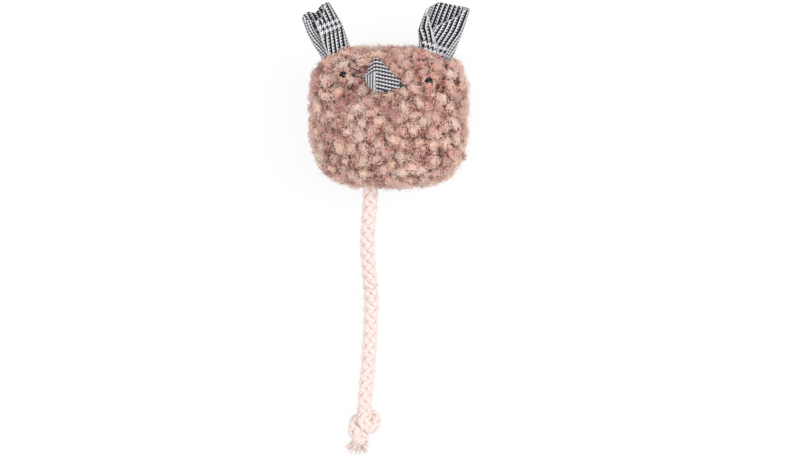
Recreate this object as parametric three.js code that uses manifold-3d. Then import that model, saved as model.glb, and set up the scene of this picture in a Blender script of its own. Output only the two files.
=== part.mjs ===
// Stuffed cat toy lying on its back: a fleece head with folded cloth ears, a cloth nose,
// bead eyes and a tail of cotton rope that ends in a knot and a frayed tassel.
// +X is the right of the face as seen, +Y runs towards the ears, +Z out of the face. Millimetres.
import * as THREE from "three";
import { mergeVertices } from "three/addons/utils/BufferGeometryUtils.js";
import Module from "manifold-3d";

const wasm = await Module();
wasm.setup();

// Clearance between neighbouring pieces
const gap = 0.3;

// Head
const headWidth = 66.5;
const headHeight = 59.5;
const headDepth = 51;
const headTaper = 5; // narrower at the tail than at the ears by this much
const outlinePower = 3.4; // face outline: 2 is an ellipse, larger is squarer
const depthPower = 2.8; // the same from front to back
const restDepth = 1.5; // how far the back is pressed flat
const fleeceThickness = 4; // backing cloth with its pile
const frontSeamHeight = 37;
const backSeamHeight = 13;
const seamThreadDiameter = 0.6;
const seamThreadDepth = 2.6; // below the fleece surface

// Curled pile: puffs of fibre side by side on the front and the band
const puffCount = 340; // over the whole head
const puffScatter = 0.07; // unevenness of their spread, as a share of the head's radius
const puffReach = 4.3; // from a puff's top to the creases round it
const puffDepth = 2.2; // creases below the tops

// Ears: a strip of cloth with both edges folded to the front
const earLength = 20;
const earBaseWidth = 13;
const earBellyPlace = 0.65; // share of the length
const earClothThickness = 1.2;
const earBaseFold = 1.5; // radius of the folded edges
const earRise = 1; // fold line above the fleece surface
const earFlapGap = 0.6;
const earSewnReach = 3.2; // pile sewn flat round the foot
const earSewnDepth = 0.45; // below the fleece surface
const earLeftReach = 20.8; // from the middle of the face
const earLeftBellyWidth = 14.5;
const earLeftTipWidth = 13.5;
const earLeftTipFold = 3.5;
const earRightReach = 19.8;
const earRightBellyWidth = 19;
const earRightTipWidth = 17.5;
const earRightTipFold = 3;
const earPlaces = [
  {
    name: "ear_left",
    x: -earLeftReach,
    lean: 24,
    twist: 20,
    bellyWidth: earLeftBellyWidth,
    tipWidth: earLeftTipWidth,
    tipFold: earLeftTipFold,
  },
  {
    name: "ear_right",
    x: earRightReach,
    lean: -16,
    twist: -8,
    bellyWidth: earRightBellyWidth,
    tipWidth: earRightTipWidth,
    tipFold: earRightTipFold,
  },
];

// Nose: a stuffed four-cornered pouch. Each corner's place is a share of half the head's width
// and of half its height, and its rise is its height above the fleece.
const noseTopRise = 3.2;
const noseBottomRise = 7.8;
const noseSideRise = -1;
const noseCorners = {
  top: { across: -0.1624, along: 0.837, rise: noseTopRise },
  bottom: { across: -0.1654, along: 0.3261, rise: noseBottomRise },
  left: { across: -0.3188, along: 0.5277, rise: noseSideRise },
  right: { across: 0.2015, along: 0.4168, rise: noseSideRise },
};
const noseSharpness = 7; // larger is crisper at the edges
const nosePress = 0.25; // width of the flattened pile round it, as a share of its size
const noseClothThickness = 0.8;
const noseStitchSpan = 3.6;
const noseStitchRise = 0.9; // above the fleece surface
const threadDiameter = 0.5;
const threadDepth = 2.8; // how deep a stitch goes into the fleece

// Eyes: beads sewn on through a bore across the face, placed by the same shares as the nose
const eyePlaces = [
  { side: "left", across: -0.5624, along: 0.5647 },
  { side: "right", across: 0.4932, along: 0.484 },
];
const eyeDiameter = 5;
const eyeBoreDiameter = 1.4;
const eyeSink = 0.9; // bead centre below the fleece surface

// Rope tail
const ropeDiameter = 6.7;
const ropeExit = { x: -7.8, z: 25 };
const ropeTuck = 14; // length sewn inside the head
const ropeBendPlace = 0.52; // share of the length where the tail bends
const ropeBendGap = 0.7; // room for the bend to close to a right angle
const ropeRoute = [
  [-7.8, -33.35, 25],
  [-8.1, -38, 24.7],
  [-8.5, -43, 23.7],
  [-8.8, -48, 21.9],
  [-9, -53, 19.4],
  [-8.9, -58, 16.3],
  [-8.5, -63, 13],
  [-8.1, -68, 9.9],
  [-7.7, -73, 7.3],
  [-7.5, -78, 5.4],
  [-7.6, -83, 4.2],
  [-7.8, -88, 3.6],
  [-8.1, -94, 3.4],
  [-8.5, -100, 3.4],
  [-8.9, -106, 3.45],
  [-9.4, -111, 3.9],
  [-9.8, -115.5, 5.1],
  [-10.1, -119.5, 6.15],
  [-10.3, -123.5, 6.5],
];

// Knot and tassel
const knotLength = 10;
const knotWrapRadius = 3.6;
const knotStrandDiameter = 5.6;
const knotWrapTurns = 1.3;
const tasselStrandCount = 11;
const tasselLength = 6.8;
const tasselSpread = 4.8; // sideways reach of the outer strands
const tasselLean = -2.6; // the whole tassel drifts to the left
const tasselFall = 5.6; // drop from the knot's axis to the table side
const tasselStrandDiameter = 2.2;
const tasselTipDiameter = 0.9;
const tasselRootLength = 1.4;

// Facets
const coverSteps = { around: 40, depth: 20 };
const puffDetail = 14;
const fillingSteps = { around: 24, depth: 14 };
const noseDetail = 4;
const ropeSides = 12;
const threadSides = 5;
const threadSteps = 12;
const beadSides = 16;

const halfWidth = headWidth / 2;
const halfHeight = headHeight / 2;
const halfDepth = (headDepth + restDepth) / 2;
const headCentreHeight = headDepth - halfDepth;
const seamSlot = seamThreadDiameter + 2 * gap;
const ropeRadius = ropeDiameter / 2;
const headCentre = new THREE.Vector3(0, 0, headCentreHeight);
const roomy = 4 * Math.max(headWidth, headHeight, headDepth); // larger than the head

const toy = new THREE.Group();
toy.name = "rope_cat_toy";

const finishes = {
  fleece: new THREE.MeshStandardMaterial({ color: 0xc8a596, roughness: 0.95, metalness: 0 }),
  checkedCloth: new THREE.MeshStandardMaterial({ color: 0x77777a, roughness: 0.85, metalness: 0 }),
  fibre: new THREE.MeshStandardMaterial({ color: 0xf2efe8, roughness: 1, metalness: 0 }),
  blackBead: new THREE.MeshStandardMaterial({ color: 0x0b0b0c, roughness: 0.18, metalness: 0 }),
  blackThread: new THREE.MeshStandardMaterial({ color: 0x18171a, roughness: 0.75, metalness: 0 }),
  tanThread: new THREE.MeshStandardMaterial({ color: 0xb08d7c, roughness: 0.75, metalness: 0 }),
  cottonRope: new THREE.MeshStandardMaterial({ color: 0xf6e6de, roughness: 0.9, metalness: 0 }),
};

function addPiece(name, shape, finish, parent = toy) {
  const geometry = shape.isBufferGeometry ? shape : toGeometry(shape);
  const piece = new THREE.Mesh(geometry, finish);
  piece.name = name;
  parent.add(piece);
  return piece;
}

// A closed geometry becomes a solid once its shared corners are merged.
function toSolid(geometry) {
  const bare = geometry.clone();
  bare.deleteAttribute("normal");
  bare.deleteAttribute("uv");
  const merged = mergeVertices(bare);
  const vertProperties = new Float32Array(merged.attributes.position.array);
  const triVerts = new Uint32Array(merged.index.array);
  return new wasm.Manifold(new wasm.Mesh({ numProp: 3, vertProperties, triVerts }));
}

function toGeometry(solid) {
  const { vertProperties, triVerts, numProp } = solid.getMesh();
  const geometry = new THREE.BufferGeometry();
  const positions = new Float32Array((vertProperties.length / numProp) * 3);
  positions.forEach((_, i) => {
    positions[i] = vertProperties[Math.floor(i / 3) * numProp + (i % 3)];
  });
  geometry.setAttribute("position", new THREE.BufferAttribute(positions, 3));
  geometry.setIndex(new THREE.BufferAttribute(new Uint32Array(triVerts), 1));
  geometry.computeVertexNormals();
  return geometry;
}

// A horizontal layer of the whole neighbourhood between two heights.
function layer(low, high) {
  const box = new THREE.BoxGeometry(roomy, roomy, high - low);
  return toSolid(box.translate(0, 0, (low + high) / 2));
}

// A round bar along a curve, with flat ends.
function barAlong(curve, diameter, sides, steps) {
  const section = new THREE.Shape();
  for (let i = 0; i < sides; i += 1) {
    const angle = (2 * Math.PI * i) / sides;
    const corner = [(diameter / 2) * Math.cos(angle), (diameter / 2) * Math.sin(angle)];
    if (i === 0) section.moveTo(...corner);
    else section.lineTo(...corner);
  }
  return new THREE.ExtrudeGeometry(section, { steps, bevelEnabled: false, extrudePath: curve });
}

// One stretch of a longer curve, between two shares of its length.
class Stretch extends THREE.Curve {
  constructor(whole, from, to) {
    super();
    Object.assign(this, { whole, from, to });
  }
  getPoint(share, target = new THREE.Vector3()) {
    return target.copy(this.whole.getPointAt(THREE.MathUtils.lerp(this.from, this.to, share)));
  }
}

const power = (value, exponent) => Math.pow(Math.abs(value), exponent);
const taperAt = (y) => 1 + ((headTaper / headWidth) * y) / headHeight;

// Head form: a superellipse outline swept through a superellipse in depth.
// The level is 1 on the surface and less inside; inset shrinks the form on every side.
function headLevel(point, inset = 0) {
  const across = point.x / taperAt(point.y) / (halfWidth - inset);
  const along = point.y / (halfHeight - inset);
  const deep = (point.z - headCentreHeight) / (halfDepth - inset);
  const outline = power(across, outlinePower) + power(along, outlinePower);
  return power(outline, depthPower / outlinePower) + power(deep, depthPower);
}

// Where a ray from inside the head leaves its surface.
function headSurface(origin, direction, inset = 0) {
  const at = (distance) => direction.clone().multiplyScalar(distance).add(origin);
  let inside = 0;
  let outside = roomy;
  for (let i = 0; i < 60; i += 1) {
    const middle = (inside + outside) / 2;
    if (headLevel(at(middle), inset) < 1) inside = middle;
    else outside = middle;
  }
  return at(inside);
}

function headNormal(point) {
  const step = 0.01;
  const slope = (axis) => {
    const shift = new THREE.Vector3()[`set${axis}`](step);
    return headLevel(point.clone().add(shift)) - headLevel(point.clone().sub(shift));
  };
  return new THREE.Vector3(slope("X"), slope("Y"), slope("Z")).normalize();
}

const facePoint = (x, y) =>
  headSurface(new THREE.Vector3(x, y, headCentreHeight), new THREE.Vector3(0, 0, 1));

// A unit ball pushed out to the head form, each direction with its own inset.
function headForm(ball, insetAlong) {
  const aim = new THREE.Vector3();
  const places = ball.attributes.position;
  for (let i = 0; i < places.count; i += 1) {
    aim.fromBufferAttribute(places, i).normalize();
    const out = headSurface(headCentre, aim, insetAlong(aim));
    places.setXYZ(i, out.x, out.y, out.z);
  }
  return toSolid(ball);
}

function headSolid(inset, { around, depth }) {
  const ball = new THREE.SphereGeometry(1, around, depth).rotateX(Math.PI / 2);
  return headForm(ball, () => inset).intersect(layer(Math.max(inset, 0), roomy));
}

// Puff tops: a golden-angle spread, scattered a little and pushed out to the fleece surface
const scatter = (seed) => {
  const wave = Math.sin(seed * 12.9898) * 43758.5453;
  return puffScatter * (wave - Math.floor(wave) - 0.5);
};
const puffTops = Array.from({ length: puffCount }, (_, i) => {
  const height = 1 - (2 * i + 1) / puffCount;
  const turn = (i + 0.5) * Math.PI * (3 - Math.sqrt(5));
  const flat = Math.sqrt(1 - height * height);
  const aim = new THREE.Vector3(flat * Math.cos(turn), flat * Math.sin(turn), height);
  aim.add(new THREE.Vector3(scatter(3 * i + 1), scatter(3 * i + 2), scatter(3 * i + 3)));
  return headSurface(headCentre, aim.normalize());
});

// How far the pile lies below the smooth form: nothing at a puff's top or under the nose,
// a little where it is sewn flat at the ears, most in the creases.
function creaseDepth(point) {
  const nearest = Math.min(...puffTops.map((top) => top.distanceTo(point)));
  const crease = puffDepth * Math.min(nearest / puffReach, 1) ** 2;
  const fromFoot = Math.min(...earFeet.map((foot) => distanceToLine(foot, point)));
  const loose = THREE.MathUtils.smoothstep(fromFoot, earSewnReach, 2 * earSewnReach);
  const free = THREE.MathUtils.smoothstep(noseLevel(point, 0), 1, 1 + nosePress);
  return free * THREE.MathUtils.lerp(earSewnDepth, crease, loose);
}

function puffedHead() {
  const ball = new THREE.IcosahedronGeometry(1, puffDetail);
  return headForm(ball, (aim) => creaseDepth(headSurface(headCentre, aim)));
}

const seamRing = (height) => {
  const points = [];
  const steps = coverSteps.around;
  for (let i = 0; i <= steps; i += 1) {
    const angle = ((i + 0.5) / (steps + 1)) * 2 * Math.PI - Math.PI / 2;
    const outward = new THREE.Vector3(Math.cos(angle), Math.sin(angle), 0);
    points.push(headSurface(new THREE.Vector3(0, 0, height), outward, seamThreadDepth));
  }
  const line = new THREE.CatmullRomCurve3(points);
  return barAlong(line, seamThreadDiameter, threadSides, steps);
};

// Rope: the route ends at the knot, and the bend parts it into two stretches
const ropeLine = new THREE.CatmullRomCurve3(ropeRoute.map((p) => new THREE.Vector3(...p)));
const ropeLength = ropeLine.getLength();
const exitPoint = headSurface(
  new THREE.Vector3(ropeExit.x, 0, ropeExit.z),
  new THREE.Vector3(0, -1, 0),
);

function turnedBar(diameter, length) {
  return new THREE.CylinderGeometry(diameter / 2, diameter / 2, length, ropeSides);
}

// Seam that joins the ends of the band, sewn through the rope's tucked end
const bandSeamY = exitPoint.y + seamThreadDepth;
function bandSeamBar(diameter, sides) {
  const length = frontSeamHeight - backSeamHeight - seamSlot - 2 * gap;
  const bar = new THREE.CylinderGeometry(diameter / 2, diameter / 2, length, sides);
  bar.rotateX(Math.PI / 2);
  return bar.translate(ropeExit.x, bandSeamY, (frontSeamHeight + backSeamHeight) / 2);
}

function ropeAnchorBar(diameter, endRoom) {
  const bar = turnedBar(diameter, ropeTuck + endRoom);
  return toSolid(bar.translate(ropeExit.x, exitPoint.y + (ropeTuck + endRoom) / 2, ropeExit.z));
}

// Ears
function earWidth({ bellyWidth, tipWidth }, share) {
  if (share < earBellyPlace) {
    return THREE.MathUtils.lerp(earBaseWidth, bellyWidth, share / earBellyPlace);
  }
  return THREE.MathUtils.lerp(bellyWidth, tipWidth, (share - earBellyPlace) / (1 - earBellyPlace));
}

const earHalfSheet = earBaseWidth - 2 * earBaseFold + Math.PI * earBaseFold - earFlapGap / 2;

// Cross-section of the folded strip: flat back, round fold, flap returning along the front.
function earSection(ear, side, share, layerSide) {
  const fold = THREE.MathUtils.lerp(earBaseFold, ear.tipFold, share);
  const flat = earWidth(ear, share) / 2 - fold;
  const travel = Math.abs(side) * earHalfSheet;
  const turn = THREE.MathUtils.clamp((travel - flat) / fold, 0, Math.PI);
  const flap = Math.max(travel - flat - Math.PI * fold, 0);
  const reach = fold + layerSide * (earClothThickness / 2);
  const across = Math.min(travel, flat) - flap + reach * Math.sin(turn);
  return new THREE.Vector2(Math.sign(side) * across, -reach * Math.cos(turn));
}

function earGeometry(ear) {
  const acrossSteps = 26;
  const alongSteps = 7;
  const corners = [];
  const faces = [];
  const row = alongSteps + 1;
  const sheet = (acrossSteps + 1) * row;
  const point = (layerIndex, i, j) => layerIndex * sheet + i * row + j;
  for (const layerSide of [1, -1]) {
    for (let i = 0; i <= acrossSteps; i += 1) {
      for (let j = 0; j <= alongSteps; j += 1) {
        const share = j / alongSteps;
        const spot = earSection(ear, (2 * i) / acrossSteps - 1, share, layerSide);
        const twist = THREE.MathUtils.degToRad(ear.twist) * share * share;
        spot.rotateAround(new THREE.Vector2(), -twist);
        corners.push(spot.x, share * earLength, spot.y);
      }
    }
  }
  const quad = (a, b, c, d) => faces.push(a, b, c, a, c, d);
  for (let i = 0; i < acrossSteps; i += 1) {
    for (let j = 0; j < alongSteps; j += 1) {
      quad(point(0, i, j), point(0, i, j + 1), point(0, i + 1, j + 1), point(0, i + 1, j));
      quad(point(1, i, j), point(1, i + 1, j), point(1, i + 1, j + 1), point(1, i, j + 1));
    }
    quad(point(0, i, 0), point(0, i + 1, 0), point(1, i + 1, 0), point(1, i, 0));
    const top = alongSteps;
    quad(point(0, i, top), point(1, i, top), point(1, i + 1, top), point(0, i + 1, top));
  }
  const last = acrossSteps;
  for (let j = 0; j < alongSteps; j += 1) {
    quad(point(0, 0, j), point(1, 0, j), point(1, 0, j + 1), point(0, 0, j + 1));
    quad(point(0, last, j), point(0, last, j + 1), point(1, last, j + 1), point(1, last, j));
  }
  const geometry = new THREE.BufferGeometry();
  geometry.setAttribute("position", new THREE.Float32BufferAttribute(corners, 3));
  geometry.setIndex(faces);
  geometry.computeVertexNormals();
  return geometry;
}

function earFrame({ x, lean }) {
  const turn = THREE.MathUtils.degToRad(lean);
  const outward = new THREE.Vector3(-Math.sin(turn), Math.cos(turn), 0);
  const seat = headSurface(new THREE.Vector3(x, 0, frontSeamHeight), new THREE.Vector3(0, 1, 0));
  return { turn, hinge: outward.multiplyScalar(earRise).add(seat) };
}

const earFeet = earPlaces.map((place) => {
  const { turn, hinge } = earFrame(place);
  const half = new THREE.Vector3(Math.cos(turn), Math.sin(turn), 0).multiplyScalar(earBaseWidth / 2);
  return new THREE.Line3(hinge.clone().sub(half), hinge.clone().add(half));
});
const distanceToLine = (line, point) =>
  line.closestPointToPoint(point, true, new THREE.Vector3()).distanceTo(point);

// Room for an ear's foot to turn in the fleece.
function earFootRoom(place) {
  const { turn, hinge } = earFrame(place);
  const radius = earBaseFold + earClothThickness / 2 + gap;
  const room = new THREE.CapsuleGeometry(radius, earBaseWidth + earClothThickness, 4, 12);
  return toSolid(room.rotateZ(Math.PI / 2 + turn).translate(hinge.x, hinge.y, hinge.z));
}

// Nose: the planes of the four faces, blended into a rounded pouch
const noseTips = Object.values(noseCorners).map(({ across, along, rise }) => {
  const tip = facePoint(across * halfWidth, along * halfHeight);
  return tip.setZ(tip.z + rise);
});
const noseCentre = noseTips.reduce((sum, tip) => sum.add(tip), new THREE.Vector3()).divideScalar(4);
const noseFaces = noseTips.map((_, skipped) => {
  const round = Math.pow(3, 1 / noseSharpness); // keeps the rounded corners at the tips
  const [a, b, c] = noseTips
    .filter((__, i) => i !== skipped)
    .map((tip) => tip.clone().sub(noseCentre).multiplyScalar(round));
  const plane = new THREE.Plane().setFromCoplanarPoints(a, b, c);
  return plane.constant > 0 ? plane.negate() : plane;
});

function noseLevel(point, inset) {
  const arm = point.clone().sub(noseCentre);
  const sum = noseFaces.reduce((total, { normal, constant }) => {
    const share = Math.max(arm.dot(normal), 0) / (-constant - inset);
    return total + Math.pow(share, noseSharpness);
  }, 0);
  return Math.pow(sum, 1 / noseSharpness);
}

function noseSolid(inset) {
  const ball = new THREE.IcosahedronGeometry(1, noseDetail);
  const places = ball.attributes.position;
  const spot = new THREE.Vector3();
  for (let i = 0; i < places.count; i += 1) {
    spot.fromBufferAttribute(places, i).normalize();
    const reach = 1 / noseLevel(spot.clone().add(noseCentre), inset);
    spot.multiplyScalar(reach).add(noseCentre);
    places.setXYZ(i, spot.x, spot.y, spot.z);
  }
  return toSolid(ball);
}

// Where the nose meets the fleece, going out from its middle towards one corner.
function noseRim(towards) {
  const step = 0.05;
  const spot = noseCentre.clone();
  do {
    spot.addScaledVector(towards, step);
    spot.z = facePoint(spot.x, spot.y).z + gap;
  } while (noseLevel(spot, 0) < 1);
  return spot;
}

// A stitch rises from the cloth, runs across and goes down again: a squared arch about its frame.
function threadArch(leg, top, depth, diameter) {
  const archPower = 2 / 7;
  const points = [];
  for (let i = 0; i <= threadSteps; i += 1) {
    const angle = (Math.PI * i) / threadSteps;
    const across = Math.sign(Math.cos(angle)) * power(Math.cos(angle), archPower);
    const up = power(Math.sin(angle), archPower);
    points.push(new THREE.Vector3(-leg * across, 0, (top + depth) * up - depth));
  }
  const line = new THREE.CatmullRomCurve3(points, false, "centripetal");
  return barAlong(line, diameter, threadSides, 2 * threadSteps);
}

// Stitches through the two side corners of the nose; each frame has +X pointing away from it
function noseStitch(corner) {
  const { across, along } = noseCorners[corner];
  const away = new THREE.Vector3(across * halfWidth, along * halfHeight, 0).sub(noseCentre);
  away.setZ(0).normalize();
  const frame = new THREE.Group();
  frame.position.copy(noseRim(away));
  frame.rotation.z = Math.atan2(away.y, away.x);
  frame.updateMatrix();
  const bar = (diameter, room) =>
    threadArch(noseStitchSpan / 2, noseStitchRise, threadDepth + room, diameter);
  return { corner, frame, bar };
}

// Eyes: each bead has its own frame with +Z along the surface normal
function eyeFrame({ across, along }) {
  const seat = facePoint(across * halfWidth, along * halfHeight);
  const outward = headNormal(seat);
  const frame = new THREE.Group();
  frame.position.copy(seat).addScaledVector(outward, -eyeSink);
  frame.quaternion.setFromUnitVectors(new THREE.Vector3(0, 0, 1), outward);
  frame.updateMatrix();
  return frame;
}

const eyeBall = (diameter) => new THREE.SphereGeometry(diameter / 2, beadSides, beadSides / 2);

function eyeBead() {
  const bore = new THREE.CylinderGeometry(
    eyeBoreDiameter / 2,
    eyeBoreDiameter / 2,
    2 * eyeDiameter,
    ropeSides,
  );
  return toSolid(eyeBall(eyeDiameter)).subtract(toSolid(bore.rotateZ(Math.PI / 2)));
}

function eyeThread(diameter, room) {
  const leg = eyeDiameter / 2 + 2 * gap + threadDiameter / 2;
  return threadArch(leg, 0, threadDepth - eyeSink + room, diameter);
}

// Knot: a wrap of the rope round its own core; its frame has -Y along the rope
function ropeKnot() {
  const core = turnedBar(knotStrandDiameter, knotLength).translate(0, -knotLength / 2, 0);
  const rise = knotLength - knotStrandDiameter;
  const steps = 24;
  const points = [];
  for (let i = 0; i <= steps; i += 1) {
    const share = i / steps;
    const angle = 2 * Math.PI * knotWrapTurns * share + Math.PI / 3;
    const y = -knotStrandDiameter / 2 - rise * share;
    points.push(
      new THREE.Vector3(knotWrapRadius * Math.cos(angle), y, knotWrapRadius * Math.sin(angle)),
    );
  }
  const wrap = barAlong(new THREE.CatmullRomCurve3(points), knotStrandDiameter, ropeSides, steps);
  return toSolid(core).add(toSolid(wrap));
}

// Tassel: tapering strands that fan out from one root; same frame as the knot
function ropeTassel() {
  const root = turnedBar(knotStrandDiameter, tasselRootLength);
  let tassel = toSolid(root.translate(0, -tasselRootLength / 2, 0));
  const rootReach = (knotStrandDiameter - tasselStrandDiameter) / 2;
  for (let i = 0; i < tasselStrandCount; i += 1) {
    const side = (2 * i) / (tasselStrandCount - 1) - 1;
    const tier = (i % 3) / 2;
    const start = new THREE.Vector3(side * rootReach, -tasselRootLength / 2, (tier - 0.5) * rootReach);
    const length = tasselLength * (1 - 0.25 * side * side);
    const end = new THREE.Vector3(
      tasselLean + side * tasselSpread,
      -tasselRootLength - length,
      -tasselFall * (1 - 0.3 * tier),
    );
    const strand = new THREE.CylinderGeometry(
      tasselStrandDiameter / 2,
      tasselTipDiameter / 2,
      1,
      threadSides,
    );
    const span = end.clone().sub(start);
    const turn = new THREE.Quaternion().setFromUnitVectors(
      new THREE.Vector3(0, -1, 0),
      span.clone().normalize(),
    );
    strand.translate(0, -0.5, 0).scale(1, span.length(), 1).applyQuaternion(turn);
    tassel = tassel.add(toSolid(strand.translate(start.x, start.y, start.z)));
  }
  return tassel;
}

// Cover: the shell is cut at the two seams into a puffed front and band and a back pressed smooth
const hollow = headSolid(fleeceThickness, coverSteps);
const puffedCover = puffedHead().subtract(hollow);
const smoothCover = headSolid(0, coverSteps).subtract(hollow);
const halfSlot = seamSlot / 2;
let frontPanel = puffedCover.intersect(layer(frontSeamHeight + halfSlot, roomy));
let sideBand = puffedCover.intersect(layer(backSeamHeight + halfSlot, frontSeamHeight - halfSlot));
const backPanel = smoothCover.intersect(layer(-roomy, backSeamHeight - halfSlot));

for (const place of earPlaces) {
  const room = earFootRoom(place);
  frontPanel = frontPanel.subtract(room);
  sideBand = sideBand.subtract(room);
}

const eyeFrames = eyePlaces.map((place) => ({ side: place.side, frame: eyeFrame(place) }));
for (const { frame } of eyeFrames) {
  const bead = eyeBall(eyeDiameter + 2 * gap).applyMatrix4(frame.matrix);
  const thread = eyeThread(threadDiameter + 2 * gap, gap).applyMatrix4(frame.matrix);
  frontPanel = frontPanel.subtract(toSolid(bead)).subtract(toSolid(thread));
}

const faceClear = headSolid(-gap, coverSteps);
let noseCover = noseSolid(0).subtract(noseSolid(noseClothThickness)).subtract(faceClear);
let noseFilling = noseSolid(noseClothThickness + gap).subtract(faceClear);
const noseStitches = ["left", "right"].map(noseStitch);
for (const { frame, bar } of noseStitches) {
  const room = toSolid(bar(threadDiameter + 2 * gap, gap).applyMatrix4(frame.matrix));
  frontPanel = frontPanel.subtract(room);
  noseCover = noseCover.subtract(room);
  noseFilling = noseFilling.subtract(room);
}

const bandSlot = new THREE.BoxGeometry(seamSlot, roomy, roomy).translate(ropeExit.x, -roomy / 2, 0);
const ropeHole = ropeAnchorBar(ropeDiameter + 2 * gap, gap);
const exitRoom = ropeAnchorBar(ropeDiameter + 2 * gap, gap).translate(0, -ropeTuck, 0);
sideBand = sideBand.subtract(toSolid(bandSlot)).subtract(ropeHole).subtract(exitRoom);

addPiece("front_panel", frontPanel, finishes.fleece);
addPiece("side_band", sideBand, finishes.fleece);
addPiece("back_panel", backPanel, finishes.fleece);
const filling = headSolid(fleeceThickness + gap, fillingSteps);
addPiece("stuffing", filling.subtract(ropeHole), finishes.fibre);
addPiece("front_seam_thread", seamRing(frontSeamHeight), finishes.tanThread);
addPiece("back_seam_thread", seamRing(backSeamHeight), finishes.tanThread);
addPiece("band_seam_thread", bandSeamBar(seamThreadDiameter, threadSides), finishes.tanThread);

for (const place of earPlaces) {
  const { turn, hinge } = earFrame(place);
  const ear = addPiece(place.name, earGeometry(place), finishes.checkedCloth);
  ear.position.copy(hinge);
  ear.rotation.z = turn;
}

addPiece("nose_cover", noseCover, finishes.checkedCloth);
addPiece("nose_stuffing", noseFilling, finishes.fibre);
for (const { corner, frame, bar } of noseStitches) {
  toy.add(frame);
  addPiece(`nose_stitch_${corner}`, bar(threadDiameter, 0), finishes.blackThread, frame);
}

for (const { side, frame } of eyeFrames) {
  toy.add(frame);
  addPiece(`eye_${side}`, eyeBead(), finishes.blackBead, frame);
  addPiece(`eye_thread_${side}`, eyeThread(threadDiameter, 0), finishes.blackThread, frame);
}

const threadHole = toSolid(bandSeamBar(seamThreadDiameter + 2 * gap, threadSides));
addPiece("rope_anchor", ropeAnchorBar(ropeDiameter, 0).subtract(threadHole), finishes.cottonRope);

// The lower stretch turns on a ball at the bend, as the upper one does at the head
const ballRoom = (ropeRadius + ropeBendGap) / ropeLength;
const ropeBall = (point) =>
  toSolid(new THREE.SphereGeometry(ropeRadius, ropeSides, ropeSides / 2).translate(...point));
const upperLine = new Stretch(ropeLine, 0, ropeBendPlace - ballRoom);
const lowerLine = new Stretch(ropeLine, ropeBendPlace, 1);
const ropeStep = 2; // diameters
const stepsOf = (line) => Math.ceil(line.getLength() / (ropeStep * ropeDiameter)) + 2;
const upperTube = toSolid(barAlong(upperLine, ropeDiameter, ropeSides, stepsOf(upperLine)));
const lowerTube = toSolid(barAlong(lowerLine, ropeDiameter, ropeSides, stepsOf(lowerLine)));
addPiece("rope_upper", upperTube.add(ropeBall(upperLine.getPoint(0))), finishes.cottonRope);
addPiece("rope_lower", lowerTube.add(ropeBall(lowerLine.getPoint(0))), finishes.cottonRope);

const ropeEnd = new THREE.Group();
const endDirection = ropeLine.getTangentAt(1);
ropeEnd.position.copy(ropeLine.getPointAt(1)).addScaledVector(endDirection, gap);
ropeEnd.quaternion.setFromUnitVectors(new THREE.Vector3(0, -1, 0), endDirection);
toy.add(ropeEnd);
addPiece("rope_knot", ropeKnot(), finishes.cottonRope, ropeEnd);
const tassel = addPiece("rope_tassel", ropeTassel(), finishes.cottonRope, ropeEnd);
tassel.position.y = -knotLength - gap;

export default toy;
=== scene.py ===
# Stuffed cat toy on its back: curly fleece head, checked cloth ears and nose, bead eyes, braided tail
from functools import partial

import bpy
import numpy as np
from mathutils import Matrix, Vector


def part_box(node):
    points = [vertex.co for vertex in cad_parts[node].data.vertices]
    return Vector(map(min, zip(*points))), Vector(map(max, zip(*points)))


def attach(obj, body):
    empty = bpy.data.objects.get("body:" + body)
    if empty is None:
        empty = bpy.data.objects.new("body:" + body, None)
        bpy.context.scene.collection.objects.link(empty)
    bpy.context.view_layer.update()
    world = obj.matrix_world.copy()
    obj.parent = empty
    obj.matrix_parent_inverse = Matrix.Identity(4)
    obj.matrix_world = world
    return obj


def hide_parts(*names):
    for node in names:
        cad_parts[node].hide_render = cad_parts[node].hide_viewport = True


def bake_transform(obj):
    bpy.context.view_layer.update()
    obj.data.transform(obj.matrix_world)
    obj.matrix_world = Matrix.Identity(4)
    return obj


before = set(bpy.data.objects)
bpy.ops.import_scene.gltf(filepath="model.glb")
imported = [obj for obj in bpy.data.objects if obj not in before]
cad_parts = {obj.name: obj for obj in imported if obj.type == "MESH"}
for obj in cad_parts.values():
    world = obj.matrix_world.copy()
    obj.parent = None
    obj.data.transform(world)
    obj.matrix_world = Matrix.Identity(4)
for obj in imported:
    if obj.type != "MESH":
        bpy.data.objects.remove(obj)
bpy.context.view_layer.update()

mm = 0.001  # shapes are worked out in millimetres

# Small helpers


def srgb(red, green, blue):
    # picture values 0..255 to linear light
    share = np.array([red, green, blue]) / 255
    light = np.where(share <= 0.04045, share / 12.92, ((share + 0.055) / 1.055) ** 2.4)
    return (*(float(v) for v in light), 1.0)


def unit(vectors):
    return vectors / np.maximum(np.linalg.norm(vectors, axis=-1, keepdims=True), 1e-12)


def ease(low, high, value):
    share = np.clip((value - low) / (high - low), 0, 1)
    return share * share * (3 - 2 * share)


def fullTurn(count):
    # even angles once round
    return np.linspace(0, 2 * np.pi, count, endpoint=False)


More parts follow.
